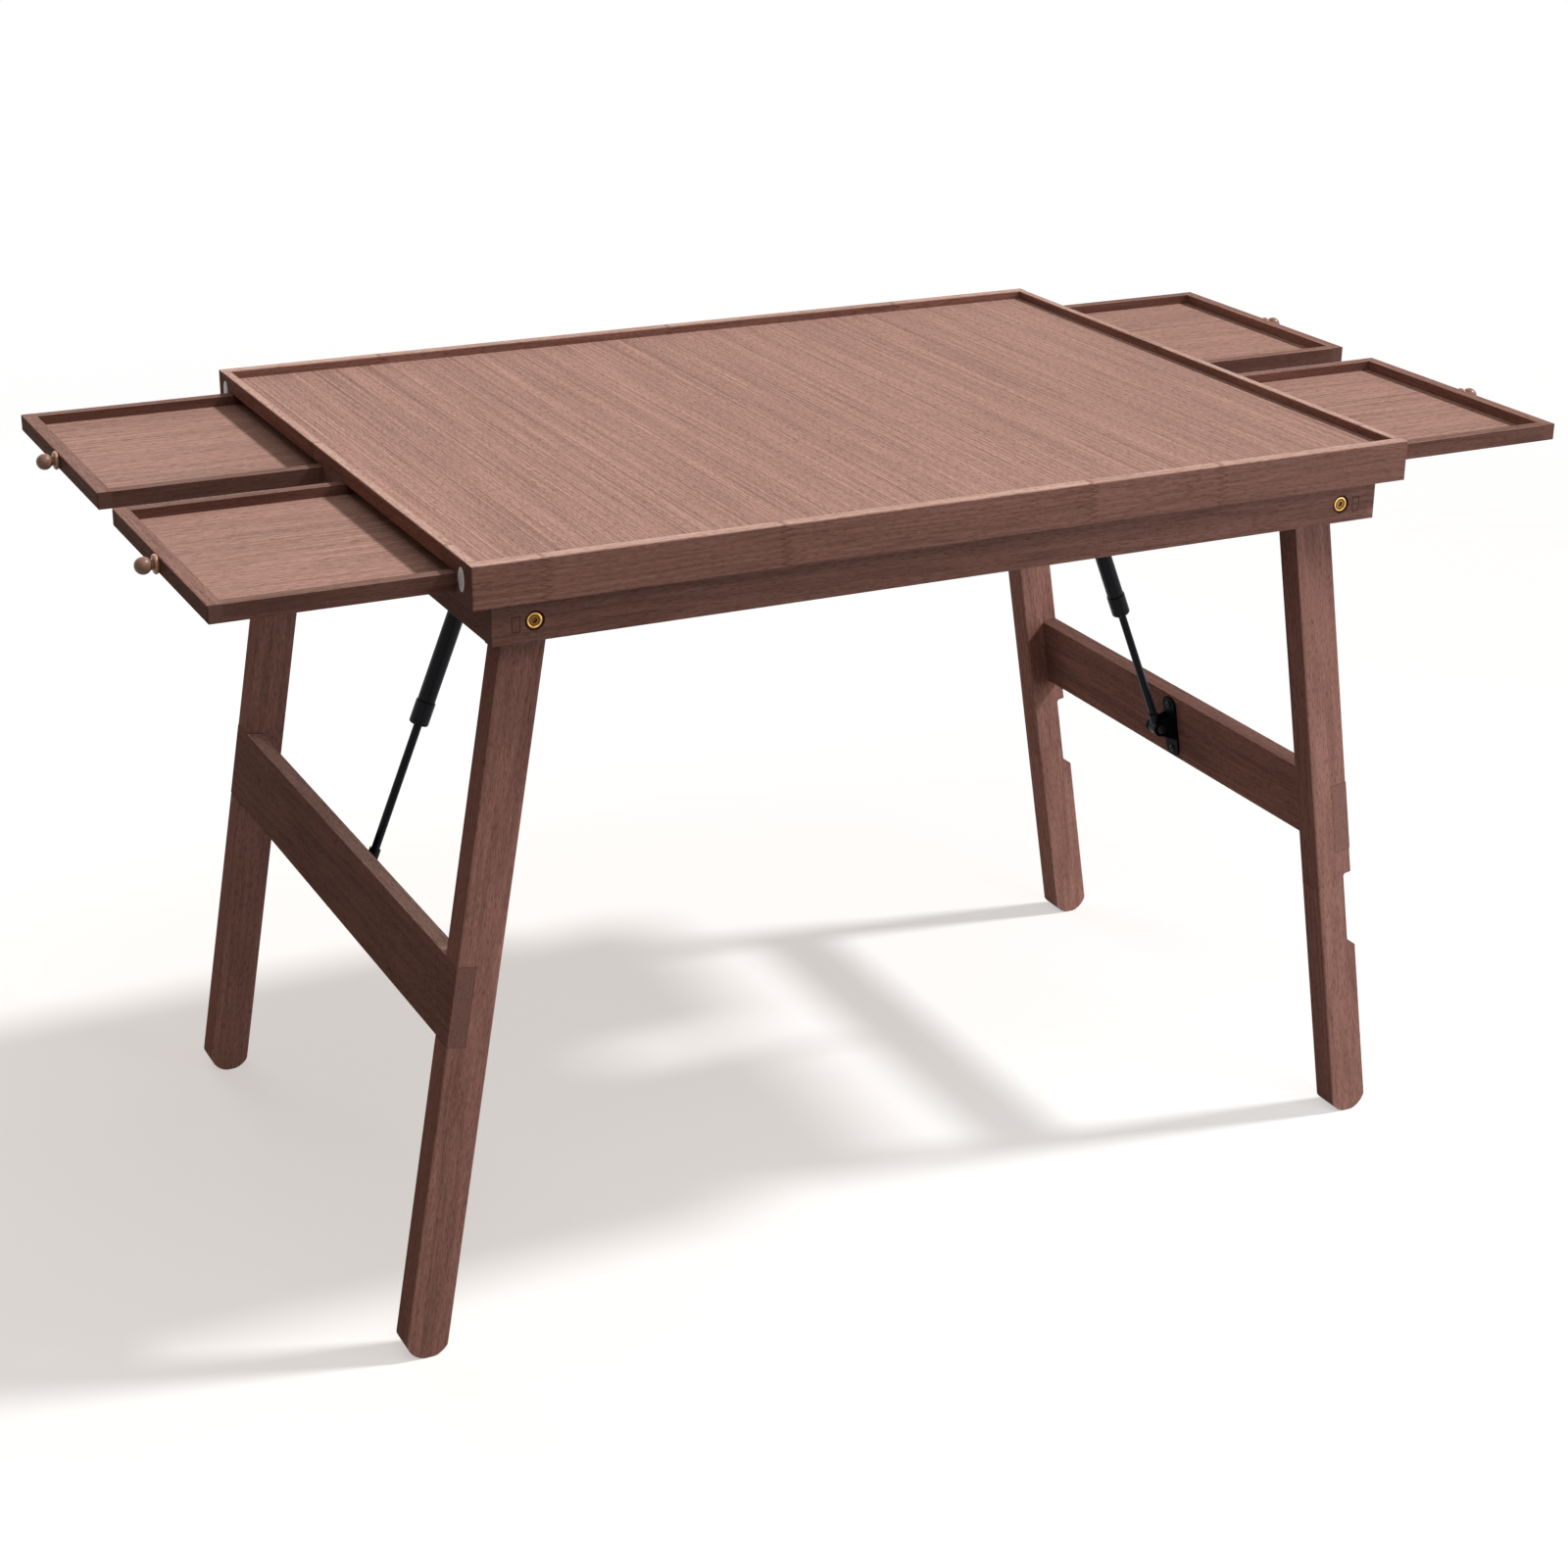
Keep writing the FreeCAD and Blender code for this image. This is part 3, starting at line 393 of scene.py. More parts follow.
def finger_joints(wood, along, across, joints, settings):
    """Count the glued lengths passed along a board, and mark the zigzag lines between them."""
    lengths, lines = 0.0, 0.0
    slope = settings.finger_length / settings.finger_pitch * 2
    zigzag = wood.math("PINGPONG", across, settings.finger_pitch / 2) * slope
    for joint in joints:
        past = along - joint - zigzag
        lengths = lengths + past.ramp(-JOINT_EDGE, JOINT_EDGE)
        lines = lines + abs(past).fade(*JOINT_LINE)
    return lengths, lines


def glue_line(along, across, patch):
    """The thin dark line round a patch where another board's end shows."""
    (low, high), (near, far) = patch
    beyond = abs(along - (low + high) / 2) - (high - low) / 2
    beyond = beyond.math("MAXIMUM", abs(across - (near + far) / 2) - (far - near) / 2)
    return abs(beyond).fade(*GLUE_LINE)


def wear_sheen_and_ends(wood, axes, lip):
    """Where eased long edges and top faces (by a share) are lightened, as wear and as painted sheen and
    highlight, and where the end grain is.
    """
    turn = wood.node("ShaderNodeTexCoord", output="Normal")
    ends, *sides = (abs(wood.dot(turn, axis)) for axis in axes)
    flat = sides[0].math("MAXIMUM", sides[1])
    wear_and_sheen = flat.fade(*FLAT_FACE) * ends.fade(*LONG_FACE) * EDGE_WEAR_AND_SHEEN
    if lip:
        top = wood.node("ShaderNodeSeparateXYZ", None, [turn], "Z").ramp(*TOP_FACE)
        wear_and_sheen = wear_and_sheen.math("MAXIMUM", top * lip)
    return wear_and_sheen, ends.ramp(*END_FACE)


def stained_wood(name, stain, grain, seed, look=SOLID, joints=(), patches=(), tone=1.0, lip=0.0,
                 lip_stain=None):
    """Stained beech: broad bands, growth rings, fine streaks, settled pores, pale rays and satin lacquer."""
    settings = bpy.context.scene.table_wood
    wood = Finish(name)
    axes = grain_axes(grain)
    along, across, deep = (wood.dot(wood.place, axis) for axis in axes)
    lengths, lines = finger_joints(wood, along, deep, joints, settings) if joints else (0.0, 0.0)
    onwards, aside = (seed * step for step in BOARD_STEPS)
    sawn = [along + onwards, across + (aside + lengths * LENGTH_STEP), deep]
    place = wood.node("ShaderNodeCombineXYZ", None, sawn)

    def grain_noise(length, width, detail=2.0, roughness=0.5):
        scaled = wood.vector("MULTIPLY", place, (1 / length, 1 / width, 1 / width))
        return wood.noise(scaled, detail, roughness) - 0.5

    bands = grain_noise(*BAND_SIZE)
    from_pith = wood.vector("ADD", wood.vector("MULTIPLY", place, (0, 1, 1)), PITH)
    radius = wood.length(from_pith) + bands * RING_WANDER
    rings = wood.math("SINE", radius * (2 * math.pi / settings.ring_width)) * 0.5
    streaks = grain_noise(look["streak_length"], look["streak_width"], **STREAK_NOISE)
    pores = grain_noise(settings.pore_length, settings.pore_width, detail=1.0).ramp(*PORE_NOISE)
    ray_size = (settings.pore_length * RAY_LENGTH, settings.pore_width * RAY_WIDTH)
    rays = grain_noise(*ray_size, detail=0.0).ramp(*RAY_NOISE)

    shade = bands * (BAND_CONTRAST * look["bands"]) + rings * look["rings"]
    shade = shade + streaks * (STREAK_CONTRAST * look["streaks"]) + rays * RAY_CONTRAST
    # Each glued length a step paler along the board: its own tone, and painted light that lightens the front
    # rail towards its right end
    if joints:
        shade = shade + wood.math("SINE", lengths * LENGTH_TONE_AND_LIGHT_STEP) * (LENGTH_TONE_AND_LIGHT * look["fingers"])
    shade = (shade + 0.5).math("MAXIMUM", 0.0)
    body = wood.toned(shade, stain, low=DARK_GRAIN * tone, high=PALE_GRAIN * tone)
    # Top faces and eased edges lightened as wear and painted sheen; on the stretchers' tops the lip colour is
    # painted light on the left and painted shade on the right
    wear_and_sheen, end = wear_sheen_and_ends(wood, axes, lip)
    end_stain = [channel * part for channel, part in zip(stain, END_TINT)]
    body = wood.mix(end * END_SHARE, body, rgba(end_stain, tone))
    wear_and_sheen = wear_and_sheen * (streaks * WEAR_AND_SHEEN_STREAKS + bands + WEAR_AND_SHEEN_SHARE).math("MAXIMUM", 0.0)
    body = wood.mix(wear_and_sheen, body, rgba(settings.wear_and_sheen_colour if lip_stain is None else lip_stain))
    settled = pores * look["pores"] + lines * look["fingers"]
    for patch in patches:
        settled = settled + glue_line(along, deep, patch) * GLUE_SHARE
    body = wood.mix(settled.math("MINIMUM", MOST_SETTLED), body, rgba(settings.pore_stain))

    rough = bands * BAND_ROUGHNESS + pores * PORE_ROUGHNESS + settings.lacquer_roughness
    relief = streaks * STREAK_RELIEF - settled * PORE_RELIEF
    return wood.surface(
        base_color=body,
        roughness=rough.math("MAXIMUM", LEAST_ROUGHNESS),
        specular_ior_level=LACQUER_SHEEN,
        normal=wood.bump(relief, RELIEF_STRENGTH, RELIEF_DEPTH),
    )


def dress(node, material):
    """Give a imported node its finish."""
    for slot in frame["nodes"][node].material_slots:
        slot.material = material


def stain_board(node, *recipe, **details):
    """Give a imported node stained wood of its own."""
    dress(node, stained_wood(node, *recipe, **details))


class TABLE_OT_box(bpy.types.Operator):
    """Stain the rails, end boards, puzzle board, runners and stops"""

    bl_idname = "puzzle_table.box"
    bl_label = "Stain Box"

    rail_joints = {"front_rail": (-0.401, -0.185, 0.115, 0.252), "back_rail": (-0.30, 0.02, 0.29)}
    end_joints = (-0.29, 0.05)
    # Share of the rail and end-board tops lightened as wear and painted sheen
    lip = 0.9

    def execute(self, context):
        wood = context.scene.table_wood
        for seed, (node, joints) in enumerate(self.rail_joints.items(), start=1):
            stain_board(node, wood.frame_stain, GRAIN_X, seed, joints=joints, lip=self.lip)
        for seed, side in enumerate(SIDES, start=4):
            node = side + "_end_board"
            stain_board(node, wood.frame_stain, GRAIN_Y, seed, joints=self.end_joints, lip=self.lip)
        stain_board("puzzle_board", wood.board_stain, GRAIN_Y, seed=7, look=VENEER)
        for seed, node in enumerate(("side_runners", "centre_runners", "strut_blocks"), start=8):
            stain_board(node, wood.drawer_stain, GRAIN_X, seed)
        stain_board("drawer_stops", wood.drawer_stain, GRAIN_Y, seed=11)
        return {"FINISHED"}


class TABLE_OT_apron(bpy.types.Operator):
    """Stain the apron boards and draw the tenon ends beside their corners"""

    bl_idname = "puzzle_table.apron"
    bl_label = "Stain Apron"

    tone = 1.20
    tenon_inset = 18 * MM
    tenon_width = 7 * MM
    tenon_top = 15 * MM
    tenon_foot = 28 * MM

    def tenons(self, node):
        """The tenon ends near a long board's two ends, as stretches along it and across its height."""
        along, _, upright = grain_axes(GRAIN_X)
        left, right = reach(node, along)
        top = reach(node, upright)[1]
        height = (top - self.tenon_foot, top - self.tenon_top)
        starts = (left + self.tenon_inset, right - self.tenon_inset - self.tenon_width)
        return [((start, start + self.tenon_width), height) for start in starts]

    def execute(self, context):
        stain = context.scene.table_wood.frame_stain
        for seed, node in enumerate(("front_apron", "back_apron"), start=12):
            stain_board(node, stain, GRAIN_X, seed, patches=self.tenons(node), tone=self.tone)
        for seed, side in enumerate(SIDES, start=14):
            stain_board(side + "_apron", stain, GRAIN_Y, seed, tone=self.tone)
        return {"FINISHED"}


class TABLE_OT_legs(bpy.types.Operator):
    """Stain the legs along their lean, with the stretchers' ends let into them"""

    bl_idname = "puzzle_table.legs"
    bl_label = "Stain Legs"

    leg_joints = {"left_front": -0.580, "left_rear": -0.30, "right_front": -0.193, "right_rear": -0.142}
    # Each leg's tone: partly its own, partly painted light, brightest on the rear right leg
    leg_tones_and_light = {"left_front": 0.93, "left_rear": 1.13, "right_front": 1.03, "right_rear": 1.40}
    # Painted shade darkens the left stretcher, which faces away from the key light
    stretcher_tones_and_shade = {"left": 0.76, "right": 1.08}
    # The stretchers' tops take the lip colours in full: painted light on the left, painted shade on the right
    lip = 1.0

    def execute(self, context):
        wood = context.scene.table_wood
        for seed, (leg, joint) in enumerate(self.leg_joints.items(), start=16):
            side = leg.split("_")[0]
            along, _, deep = grain_axes(leg_grain(side))
            housing = (reach(side + "_stretcher", along), reach(side + "_stretcher", deep))
            stain_board(leg + "_leg", wood.leg_stain, along, seed, POST, joints=(joint,), patches=(housing,),
                        tone=self.leg_tones_and_light[leg])
        lip_stains = {"left": wood.pale_lip_stain, "right": wood.dark_lip_stain}
        for seed, (side, tone) in enumerate(self.stretcher_tones_and_shade.items(), start=20):
            stain_board(side + "_stretcher", wood.leg_stain, GRAIN_Y, seed, tone=tone, lip=self.lip,
                        lip_stain=lip_stains[side])
        return {"FINISHED"}


class TABLE_OT_drawers(bpy.types.Operator):
    """Stain the drawer fronts, walls and bottoms"""

    bl_idname = "puzzle_table.drawers"
    bl_label = "Stain Drawers"

    # Painted shade: the left drawers darker than the right, where less light falls
    side_shade_tones = {"left": 0.60, "right": 0.76}
    front_tone = 1.3
    # Share of the drawer tops lightened as wear and painted sheen
    lip = 0.2
    first_seed = 22

    def execute(self, context):
        wood = context.scene.table_wood
        seed = self.first_seed
        for side, tone in self.side_shade_tones.items():
            for row in ROWS:
                drawer = f"{side}_{row}_drawer_"
                stain_board(drawer + "front", wood.drawer_stain, GRAIN_Y, seed, tone=tone * self.front_tone,
                            lip=self.lip)
                stain_board(drawer + "walls", wood.drawer_stain, GRAIN_X, seed + 1, tone=tone, lip=self.lip)
                stain_board(drawer + "bottom", wood.panel_stain, GRAIN_X, seed + 2, VENEER)
                seed += 3
        return {"FINISHED"}


# Turned knobs

def arc(centre, radius, start, end, steps):
    """Points of a round stretch of a profile, from one angle in degrees to another."""
    angles = [math.radians(start + (end - start) * k / steps) for k in range(steps + 1)]
    return [(centre[0] + radius * math.cos(a), centre[1] + radius * math.sin(a)) for a in angles]


def turned_piece(name, profile, origin, axis, segments=64):
    """Turn a profile of (distance, radius) points about a line, as a closed smooth mesh."""
    shell = bmesh.new()
    points = [shell.verts.new((radius, 0, distance)) for distance, radius in profile]
    edges = [shell.edges.new(pair) for pair in zip(points, points[1:])]
    bmesh.ops.spin(shell, geom=points + edges, axis=(0, 0, 1), cent=(0, 0, 0), angle=2 * math.pi,
                   steps=segments, use_merge=True)
    bmesh.ops.remove_doubles(shell, verts=shell.verts, dist=MERGE_WITHIN)
    bmesh.ops.recalc_face_normals(shell, faces=shell.faces)
    turn = Vector((0, 0, 1)).rotation_difference(axis).to_matrix().to_4x4()
    bmesh.ops.transform(shell, matrix=Matrix.Translation(origin) @ turn, verts=shell.verts)
    mesh = bpy.data.meshes.new(name)
    shell.to_mesh(mesh)
    shell.free()
    mesh.shade_smooth()
    piece = bpy.data.objects.new(name, mesh)
    bpy.context.scene.collection.objects.link(piece)
    return piece


def turned_wood(name, stain, seed):
    """Turned and stained wood with faint rings round the lathe's axis."""
    settings = bpy.context.scene.table_wood
    wood = Finish(name)
    ring_scale = (1 / (1.2 * MM), 1 / (2.5 * MM), 1 / (2.5 * MM))
    streak_scale = (90.0, 900.0, 900.0)
    seed_shift = (0, 0, seed * 3.7)
    ring_contrast = 0.7
    streak_contrast = 1.2
    scaled = wood.vector("MULTIPLY", wood.place, ring_scale)
    rings = wood.noise(wood.vector("ADD", scaled, seed_shift), detail=3.0) - 0.5
    streaks = wood.noise(wood.vector("MULTIPLY", wood.place, streak_scale)) - 0.5
    shade = (rings * ring_contrast + streaks * streak_contrast + 0.5).math("MAXIMUM", 0.0)
    body = wood.toned(shade, stain, low=0.6, high=1.35)
    return wood.surface(base_color=body, roughness=rings * 0.2 + settings.lacquer_roughness * 0.85,
                        specular_ior_level=0.4, normal=wood.bump(rings, strength=0.2, distance=0.1 * MM))


class TABLE_OT_knobs(bpy.types.Operator):
    """Turn a knob with a beaded collar for each drawer"""

    bl_idname = "puzzle_table.knobs"
    bl_label = "Turn Knobs"

    ball = 7.5 * MM
    neck = 4.4 * MM
    collar = 8.5 * MM
    collar_length = 4.0 * MM
    neck_length = 2.0 * MM
    quirk = 0.4 * MM
    spigot = 3.0 * MM
    spigot_length = 9.0 * MM
    collar_steps = 14
    ball_steps = 22

    def profile(self):
        """Spigot, rounded collar with a fine quirk, hollow neck and ball, from the drawer outwards."""
        half = self.collar_length / 2
        centre = self.collar_length + self.neck_length + math.sqrt(self.ball ** 2 - self.neck ** 2)
        start = 180 - math.degrees(math.asin(self.neck / self.ball))
        points = [(-self.spigot_length, 0), (-self.spigot_length, self.spigot), (0, self.spigot)]
        points += arc((half, self.collar - half), half, 180, 0, self.collar_steps)
        points += [(self.collar_length, self.neck + self.quirk), (self.collar_length + self.quirk, self.neck)]
        return points + arc((centre, 0), self.ball, start, 0, self.ball_steps)

    def execute(self, context):
        wood = context.scene.table_wood
        collar = turned_wood("knob_collar", wood.collar_stain, seed=1)
        ball = turned_wood("knob_ball", wood.knob_stain, seed=2)
        for side, sign in SIDES.items():
            for row in ROWS:
                body = f"{side}_{row}_drawer"
                node = body + "_knob"
                low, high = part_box(node)
                face = min(abs(low.x), abs(high.x)) + self.spigot_length
                origin = Vector((sign * face, (low.y + high.y) / 2, (low.z + high.z) / 2))
                knob = turned_piece(body + "_turned_knob", self.profile(), origin, GRAIN_X * sign)
                knob.data.materials.append(collar)
                knob.data.materials.append(ball)
                for polygon in knob.data.polygons:
                    polygon.material_index = int(abs(polygon.center.x) > face + self.collar_length)
                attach(knob, body)
                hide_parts(node)
        return {"FINISHED"}


# Metal and moulded finishes

def polished_brass():
    """Polished brass, its dish darkened brown, less so round the key: partly tarnish, partly painted dark
    reflection.
    """
    brass = Finish("polished_brass")
    stain = bpy.context.scene.table_hardware.brass
    dark_reflection_and_tarnish = [channel * part for channel, part in zip(stain, (0.11, 0.07, 0.04))]
    patches = brass.speckle(900.0, detail=3.0)
    from_middle = brass.node("ShaderNodeAttribute", {"attribute_name": "from_middle"}, output="Fac")

    def polished(middle, full, gone):
        """A bright ring on the head: its middle line, and how far off it is still full and then gone."""
        return abs(from_middle - middle).fade(full, gone)

    rim = polished(middle=0.77, full=0.04, gone=0.12)
    key_edge = polished(middle=0.36, full=0.02, gone=0.07)
    # Painted dark reflection and tarnish over the dish, inside the bright rim
    dish_tarnish_and_reflection = (1 - rim) * (1 - key_edge * 0.5)
    body = brass.toned(patches.ramp(0.35, 0.75), stain, low=1.0, high=0.62)
    body = brass.mix(dish_tarnish_and_reflection * 0.94, body, rgba(dark_reflection_and_tarnish))
    return brass.surface(base_color=body, metallic=1.0, roughness=patches * 0.16 + dish_tarnish_and_reflection * 0.2 + 0.10)


def black_metal(name, stain, roughness, peel_per_metre, sheen):
    """Black painted or plated steel with a fine orange-peel surface."""
    metal = Finish(name)
    peel = metal.speckle(peel_per_metre, detail=3.0)
    broad = metal.speckle(40.0)
    body = metal.toned(broad.ramp(0.3, 0.7), stain, low=0.75, high=1.4)
    return metal.surface(base_color=body, roughness=peel * 0.12 + roughness, specular_ior_level=sheen,
                         normal=metal.bump(peel, strength=0.12, distance=0.05 * MM))


def moulded_plastic(name, stain):
    """Moulded plastic with a slight mottle and a matt skin."""
    plastic = Finish(name)
    mottle = plastic.speckle(420.0, detail=3.0)
    body = plastic.toned(mottle.ramp(0.3, 0.7), stain, low=0.9, high=1.04)
    return plastic.surface(base_color=body, roughness=mottle * 0.2 + 0.34,
                           normal=plastic.bump(mottle, strength=0.1, distance=0.05 * MM))


class TABLE_OT_struts(bpy.types.Operator):
    """Paint the gas struts, brackets and anchors black and the pivot packing with them"""

    bl_idname = "puzzle_table.struts"
    bl_label = "Paint Struts"

    satin = {"roughness": 0.27, "peel_per_metre": 1400.0, "sheen": 0.12}
    hard = {"roughness": 0.22, "peel_per_metre": 500.0, "sheen": 0.10}
    matt = {"roughness": 0.45, "peel_per_metre": 1400.0, "sheen": 0.03}

    def execute(self, context):
        hardware = context.scene.table_hardware
        paint = black_metal("strut_paint", hardware.steel_black, **self.satin)
        rod = black_metal("strut_rod_skin", hardware.rod_black, **self.hard)
        dull = black_metal("bracket_paint", hardware.steel_black, **self.matt)
        packing = moulded_plastic("pivot_packing", hardware.packing_black)
        for side in SIDES:
            for piece in ("strut_tube", "rod_guide", "tube_eye", "rod_eye"):
                dress(f"{side}_{piece}", paint)
            dress(side + "_strut_rod", rod)
            dress(side + "_strut_bracket", dull)
        dress("strut_anchors", dull)
        dress("pivot_washers", packing)
        dress("pivot_spacers", packing)
        return {"FINISHED"}


# Fasteners and plugs set on their seats

HEAD_SIZES = ("Width", "Length", "Height", "Roundness", "Dish Width", "Dish Depth", "Key Width", "Key Depth",
              "Shank Width", "Shank Length")
HEAD_STEPS = {"Vertices X": 49, "Vertices Y": 37}
HEAD_MERGE = 0.002 * MM
SHANK_SIDES = 32
SHARP_EDGE = math.radians(35)


def head_profile(tree, rows, sizes):
    """The lathe rule of a head: a flat seat, then a superellipse whose middle is dished."""
    seat = 0.12
    dish_floor = 0.72
    least_rise = 0.001
    rise = ((rows - seat) / (1 - seat)).math("MAXIMUM", 0.0) * (math.pi / 2)
    power = 2.0 / sizes["Roundness"]
    out = (rows / seat).math("MINIMUM", 1.0)
    radius = out * tree.math("COSINE", rise).math("MAXIMUM", 0.0) ** power
    height = sizes["Height"] * tree.math("SINE", rise) ** power
    inside = (radius * sizes["Width"] / sizes["Dish Width"]).fade(dish_floor, 1.0)
    on_top = rise.math("GREATER_THAN", least_rise)
    return radius, height - inside * sizes["Dish Depth"] * on_top


def head_shape(tree, sizes):
    """A grid wrapped round the head's profile, which keeps each point's share of the way out."""
    grid = tree.node("GeometryNodeMeshGrid", None, {"Size X": 1.0, "Size Y": 1.0, **HEAD_STEPS})
    uv = Sock(tree, grid.socket.node.outputs["UV Map"])
    around, rows = (tree.node("ShaderNodeSeparateXYZ", None, [uv], axis) for axis in "XY")
    radius, height = head_profile(tree, rows, sizes)
    turn = around * (2 * math.pi)
    x = tree.math("COSINE", turn) * radius * sizes["Width"] * 0.5
    y = tree.math("SINE", turn) * radius * sizes["Length"] * 0.5
    spot = tree.node("ShaderNodeCombineXYZ", None, [x, y, height])
    head = tree.node("GeometryNodeSetPosition", None, {"Geometry": grid, "Position": spot})
    head = tree.node("GeometryNodeStoreNamedAttribute", {"data_type": "FLOAT", "domain": "POINT"},
                     {"Geometry": head, "Name": "from_middle", "Value": radius})
    head = tree.node("GeometryNodeMergeByDistance", None, {"Geometry": head, "Distance": HEAD_MERGE})
    return tree.node("GeometryNodeFlipFaces", None, {"Mesh": head})


def upright_bar(tree, sides, width, length, lift):
    """A bar along the fastener's axis, with its middle lifted off the seat."""
    bar = tree.node("GeometryNodeMeshCylinder", None,
                    {"Vertices": sides, "Radius": width * 0.5, "Depth": length})
    offset = tree.node("ShaderNodeCombineXYZ", None, {"Z": lift})
    return tree.node("GeometryNodeTransform", None, {"Geometry": bar, "Translation": offset})


def cut_key(tree, head, sizes):
    """The head with a recess for the key in its dish, where it has one."""
    key_top = sizes["Height"] - sizes["Dish Depth"]
    cutter = upright_bar(tree, sizes["Key Sides"], sizes["Key Width"], sizes["Key Depth"] * 2.0, key_top)
    cut = tree.node("GeometryNodeMeshBoolean", {"operation": "DIFFERENCE"},
                    {"Mesh 1": head, "Mesh 2": cutter})
    keyed = sizes["Key Depth"].math("GREATER_THAN", 0.0)
    return tree.node("GeometryNodeSwitch", {"input_type": "GEOMETRY"},
                     {"Switch": keyed, "False": head, "True": cut})


def head_tree():
    """Geometry nodes that set a headed fastener on every seat, facing the way that the seat says."""
    group = bpy.data.node_groups.new("headed_fastener", "GeometryNodeTree")
    kinds = {"Geometry": "Geometry", **dict.fromkeys(HEAD_SIZES, "Float"), "Key Sides": "Int",
             "Material": "Material"}
    for name, kind in kinds.items():
        group.interface.new_socket(name, in_out="INPUT", socket_type="NodeSocket" + kind)
    group.interface.new_socket("Geometry", in_out="OUTPUT", socket_type="NodeSocketGeometry")
    tree = Tree(group)
    entry = group.nodes.new("NodeGroupInput")
    sizes = {socket.name: Sock(tree, socket) for socket in entry.outputs}
    head = cut_key(tree, head_shape(tree, sizes), sizes)
    middle = sizes["Shank Length"] * -0.5
    shank = upright_bar(tree, SHANK_SIDES, sizes["Shank Width"], sizes["Shank Length"], middle)
    piece = tree.node("GeometryNodeJoinGeometry", None, {"Geometry": [head, shank]})
    facing = tree.node("GeometryNodeInputNamedAttribute", {"data_type": "FLOAT_VECTOR"}, {"Name": "facing"})
    turned = tree.node("FunctionNodeAlignRotationToVector", {"axis": "Z"}, {"Vector": facing})
    placed = tree.node("GeometryNodeInstanceOnPoints", None,
                       {"Points": sizes["Geometry"], "Instance": piece, "Rotation": turned})
    real = tree.node("GeometryNodeRealizeInstances", None, {"Geometry": placed})
    soft = tree.node("GeometryNodeInputMeshEdgeAngle").math("LESS_THAN", SHARP_EDGE)
    real = tree.node("GeometryNodeSetShadeSmooth", {"domain": "EDGE"},
                     {"Geometry": real, "Shade Smooth": soft})
    real = tree.node("GeometryNodeSetMaterial", None, {"Geometry": real, "Material": sizes["Material"]})
    tree.feed(group.nodes.new("NodeGroupOutput").inputs["Geometry"], real)
    return group


def solids(node):
    """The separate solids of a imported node, each as a list of its corner points."""
    shell = bmesh.new()
    shell.from_mesh(frame["nodes"][node].data)
    bmesh.ops.remove_doubles(shell, verts=shell.verts, dist=MERGE_WITHIN)
    left = dict.fromkeys(shell.verts)
    found = []
    while left:
        reached = [left.popitem()[0]]
        for vertex in reached:
            for edge in vertex.link_edges:
                other = edge.other_vert(vertex)
                if other in left:
                    del left[other]
                    reached.append(other)
        found.append([vertex.co.copy() for vertex in reached])
    shell.free()
    return sorted(found, key=lambda points: tuple(points_middle(points)))


def points_middle(points):
    """The mean of a list of points."""
    return sum(points, Vector()) / len(points)


def seats(node, facing, head_height):
    """Where each head of a node stands, from its solids: the head's face less the head's height."""
    found = []
    for points in solids(node):
        middle = points_middle(points)
        for way in facing(middle):
            face = max(point.dot(way) for point in points)
            found.append((middle + way * (face - middle.dot(way) - head_height), way))
    return found


def same_facing(*ways):
    """Face every fastener the same ways."""
    return lambda spot: ways


def outward_facing(axis, sign=1):
    """Face each fastener along an axis, away from the table's middle, or towards it with sign -1."""
    return lambda spot: [axis * (sign * math.copysign(1, spot.dot(axis)))]


def set_fasteners(name, body, node, facing, material, group, sizes):
    """Set fasteners on a node's seats with the node tree, and keep the result as one plain mesh."""
    places = seats(node, facing, sizes["Height"])
    base = bpy.data.meshes.new(name)
    base.from_pydata([tuple(spot) for spot, _ in places], [], [])
    ways = base.attributes.new("facing", "FLOAT_VECTOR", "POINT")
    for point, (_, way) in zip(ways.data, places):
        point.vector = way
    piece = bpy.data.objects.new(name, base)
    bpy.context.scene.collection.objects.link(piece)
    modifier = piece.modifiers.new("Fasteners", "NODES")
    modifier.node_group = group
    ports = {port.name: port.identifier for port in group.interface.items_tree if port.in_out == "INPUT"}
    for label, value in {**sizes, "Material": material}.items():
        modifier[ports[label]] = value
    depsgraph = bpy.context.evaluated_depsgraph_get()
    mesh = bpy.data.meshes.new_from_object(piece.evaluated_get(depsgraph))
    piece.modifiers.clear()
    piece.data = mesh
    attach(piece, body)
    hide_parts(node)


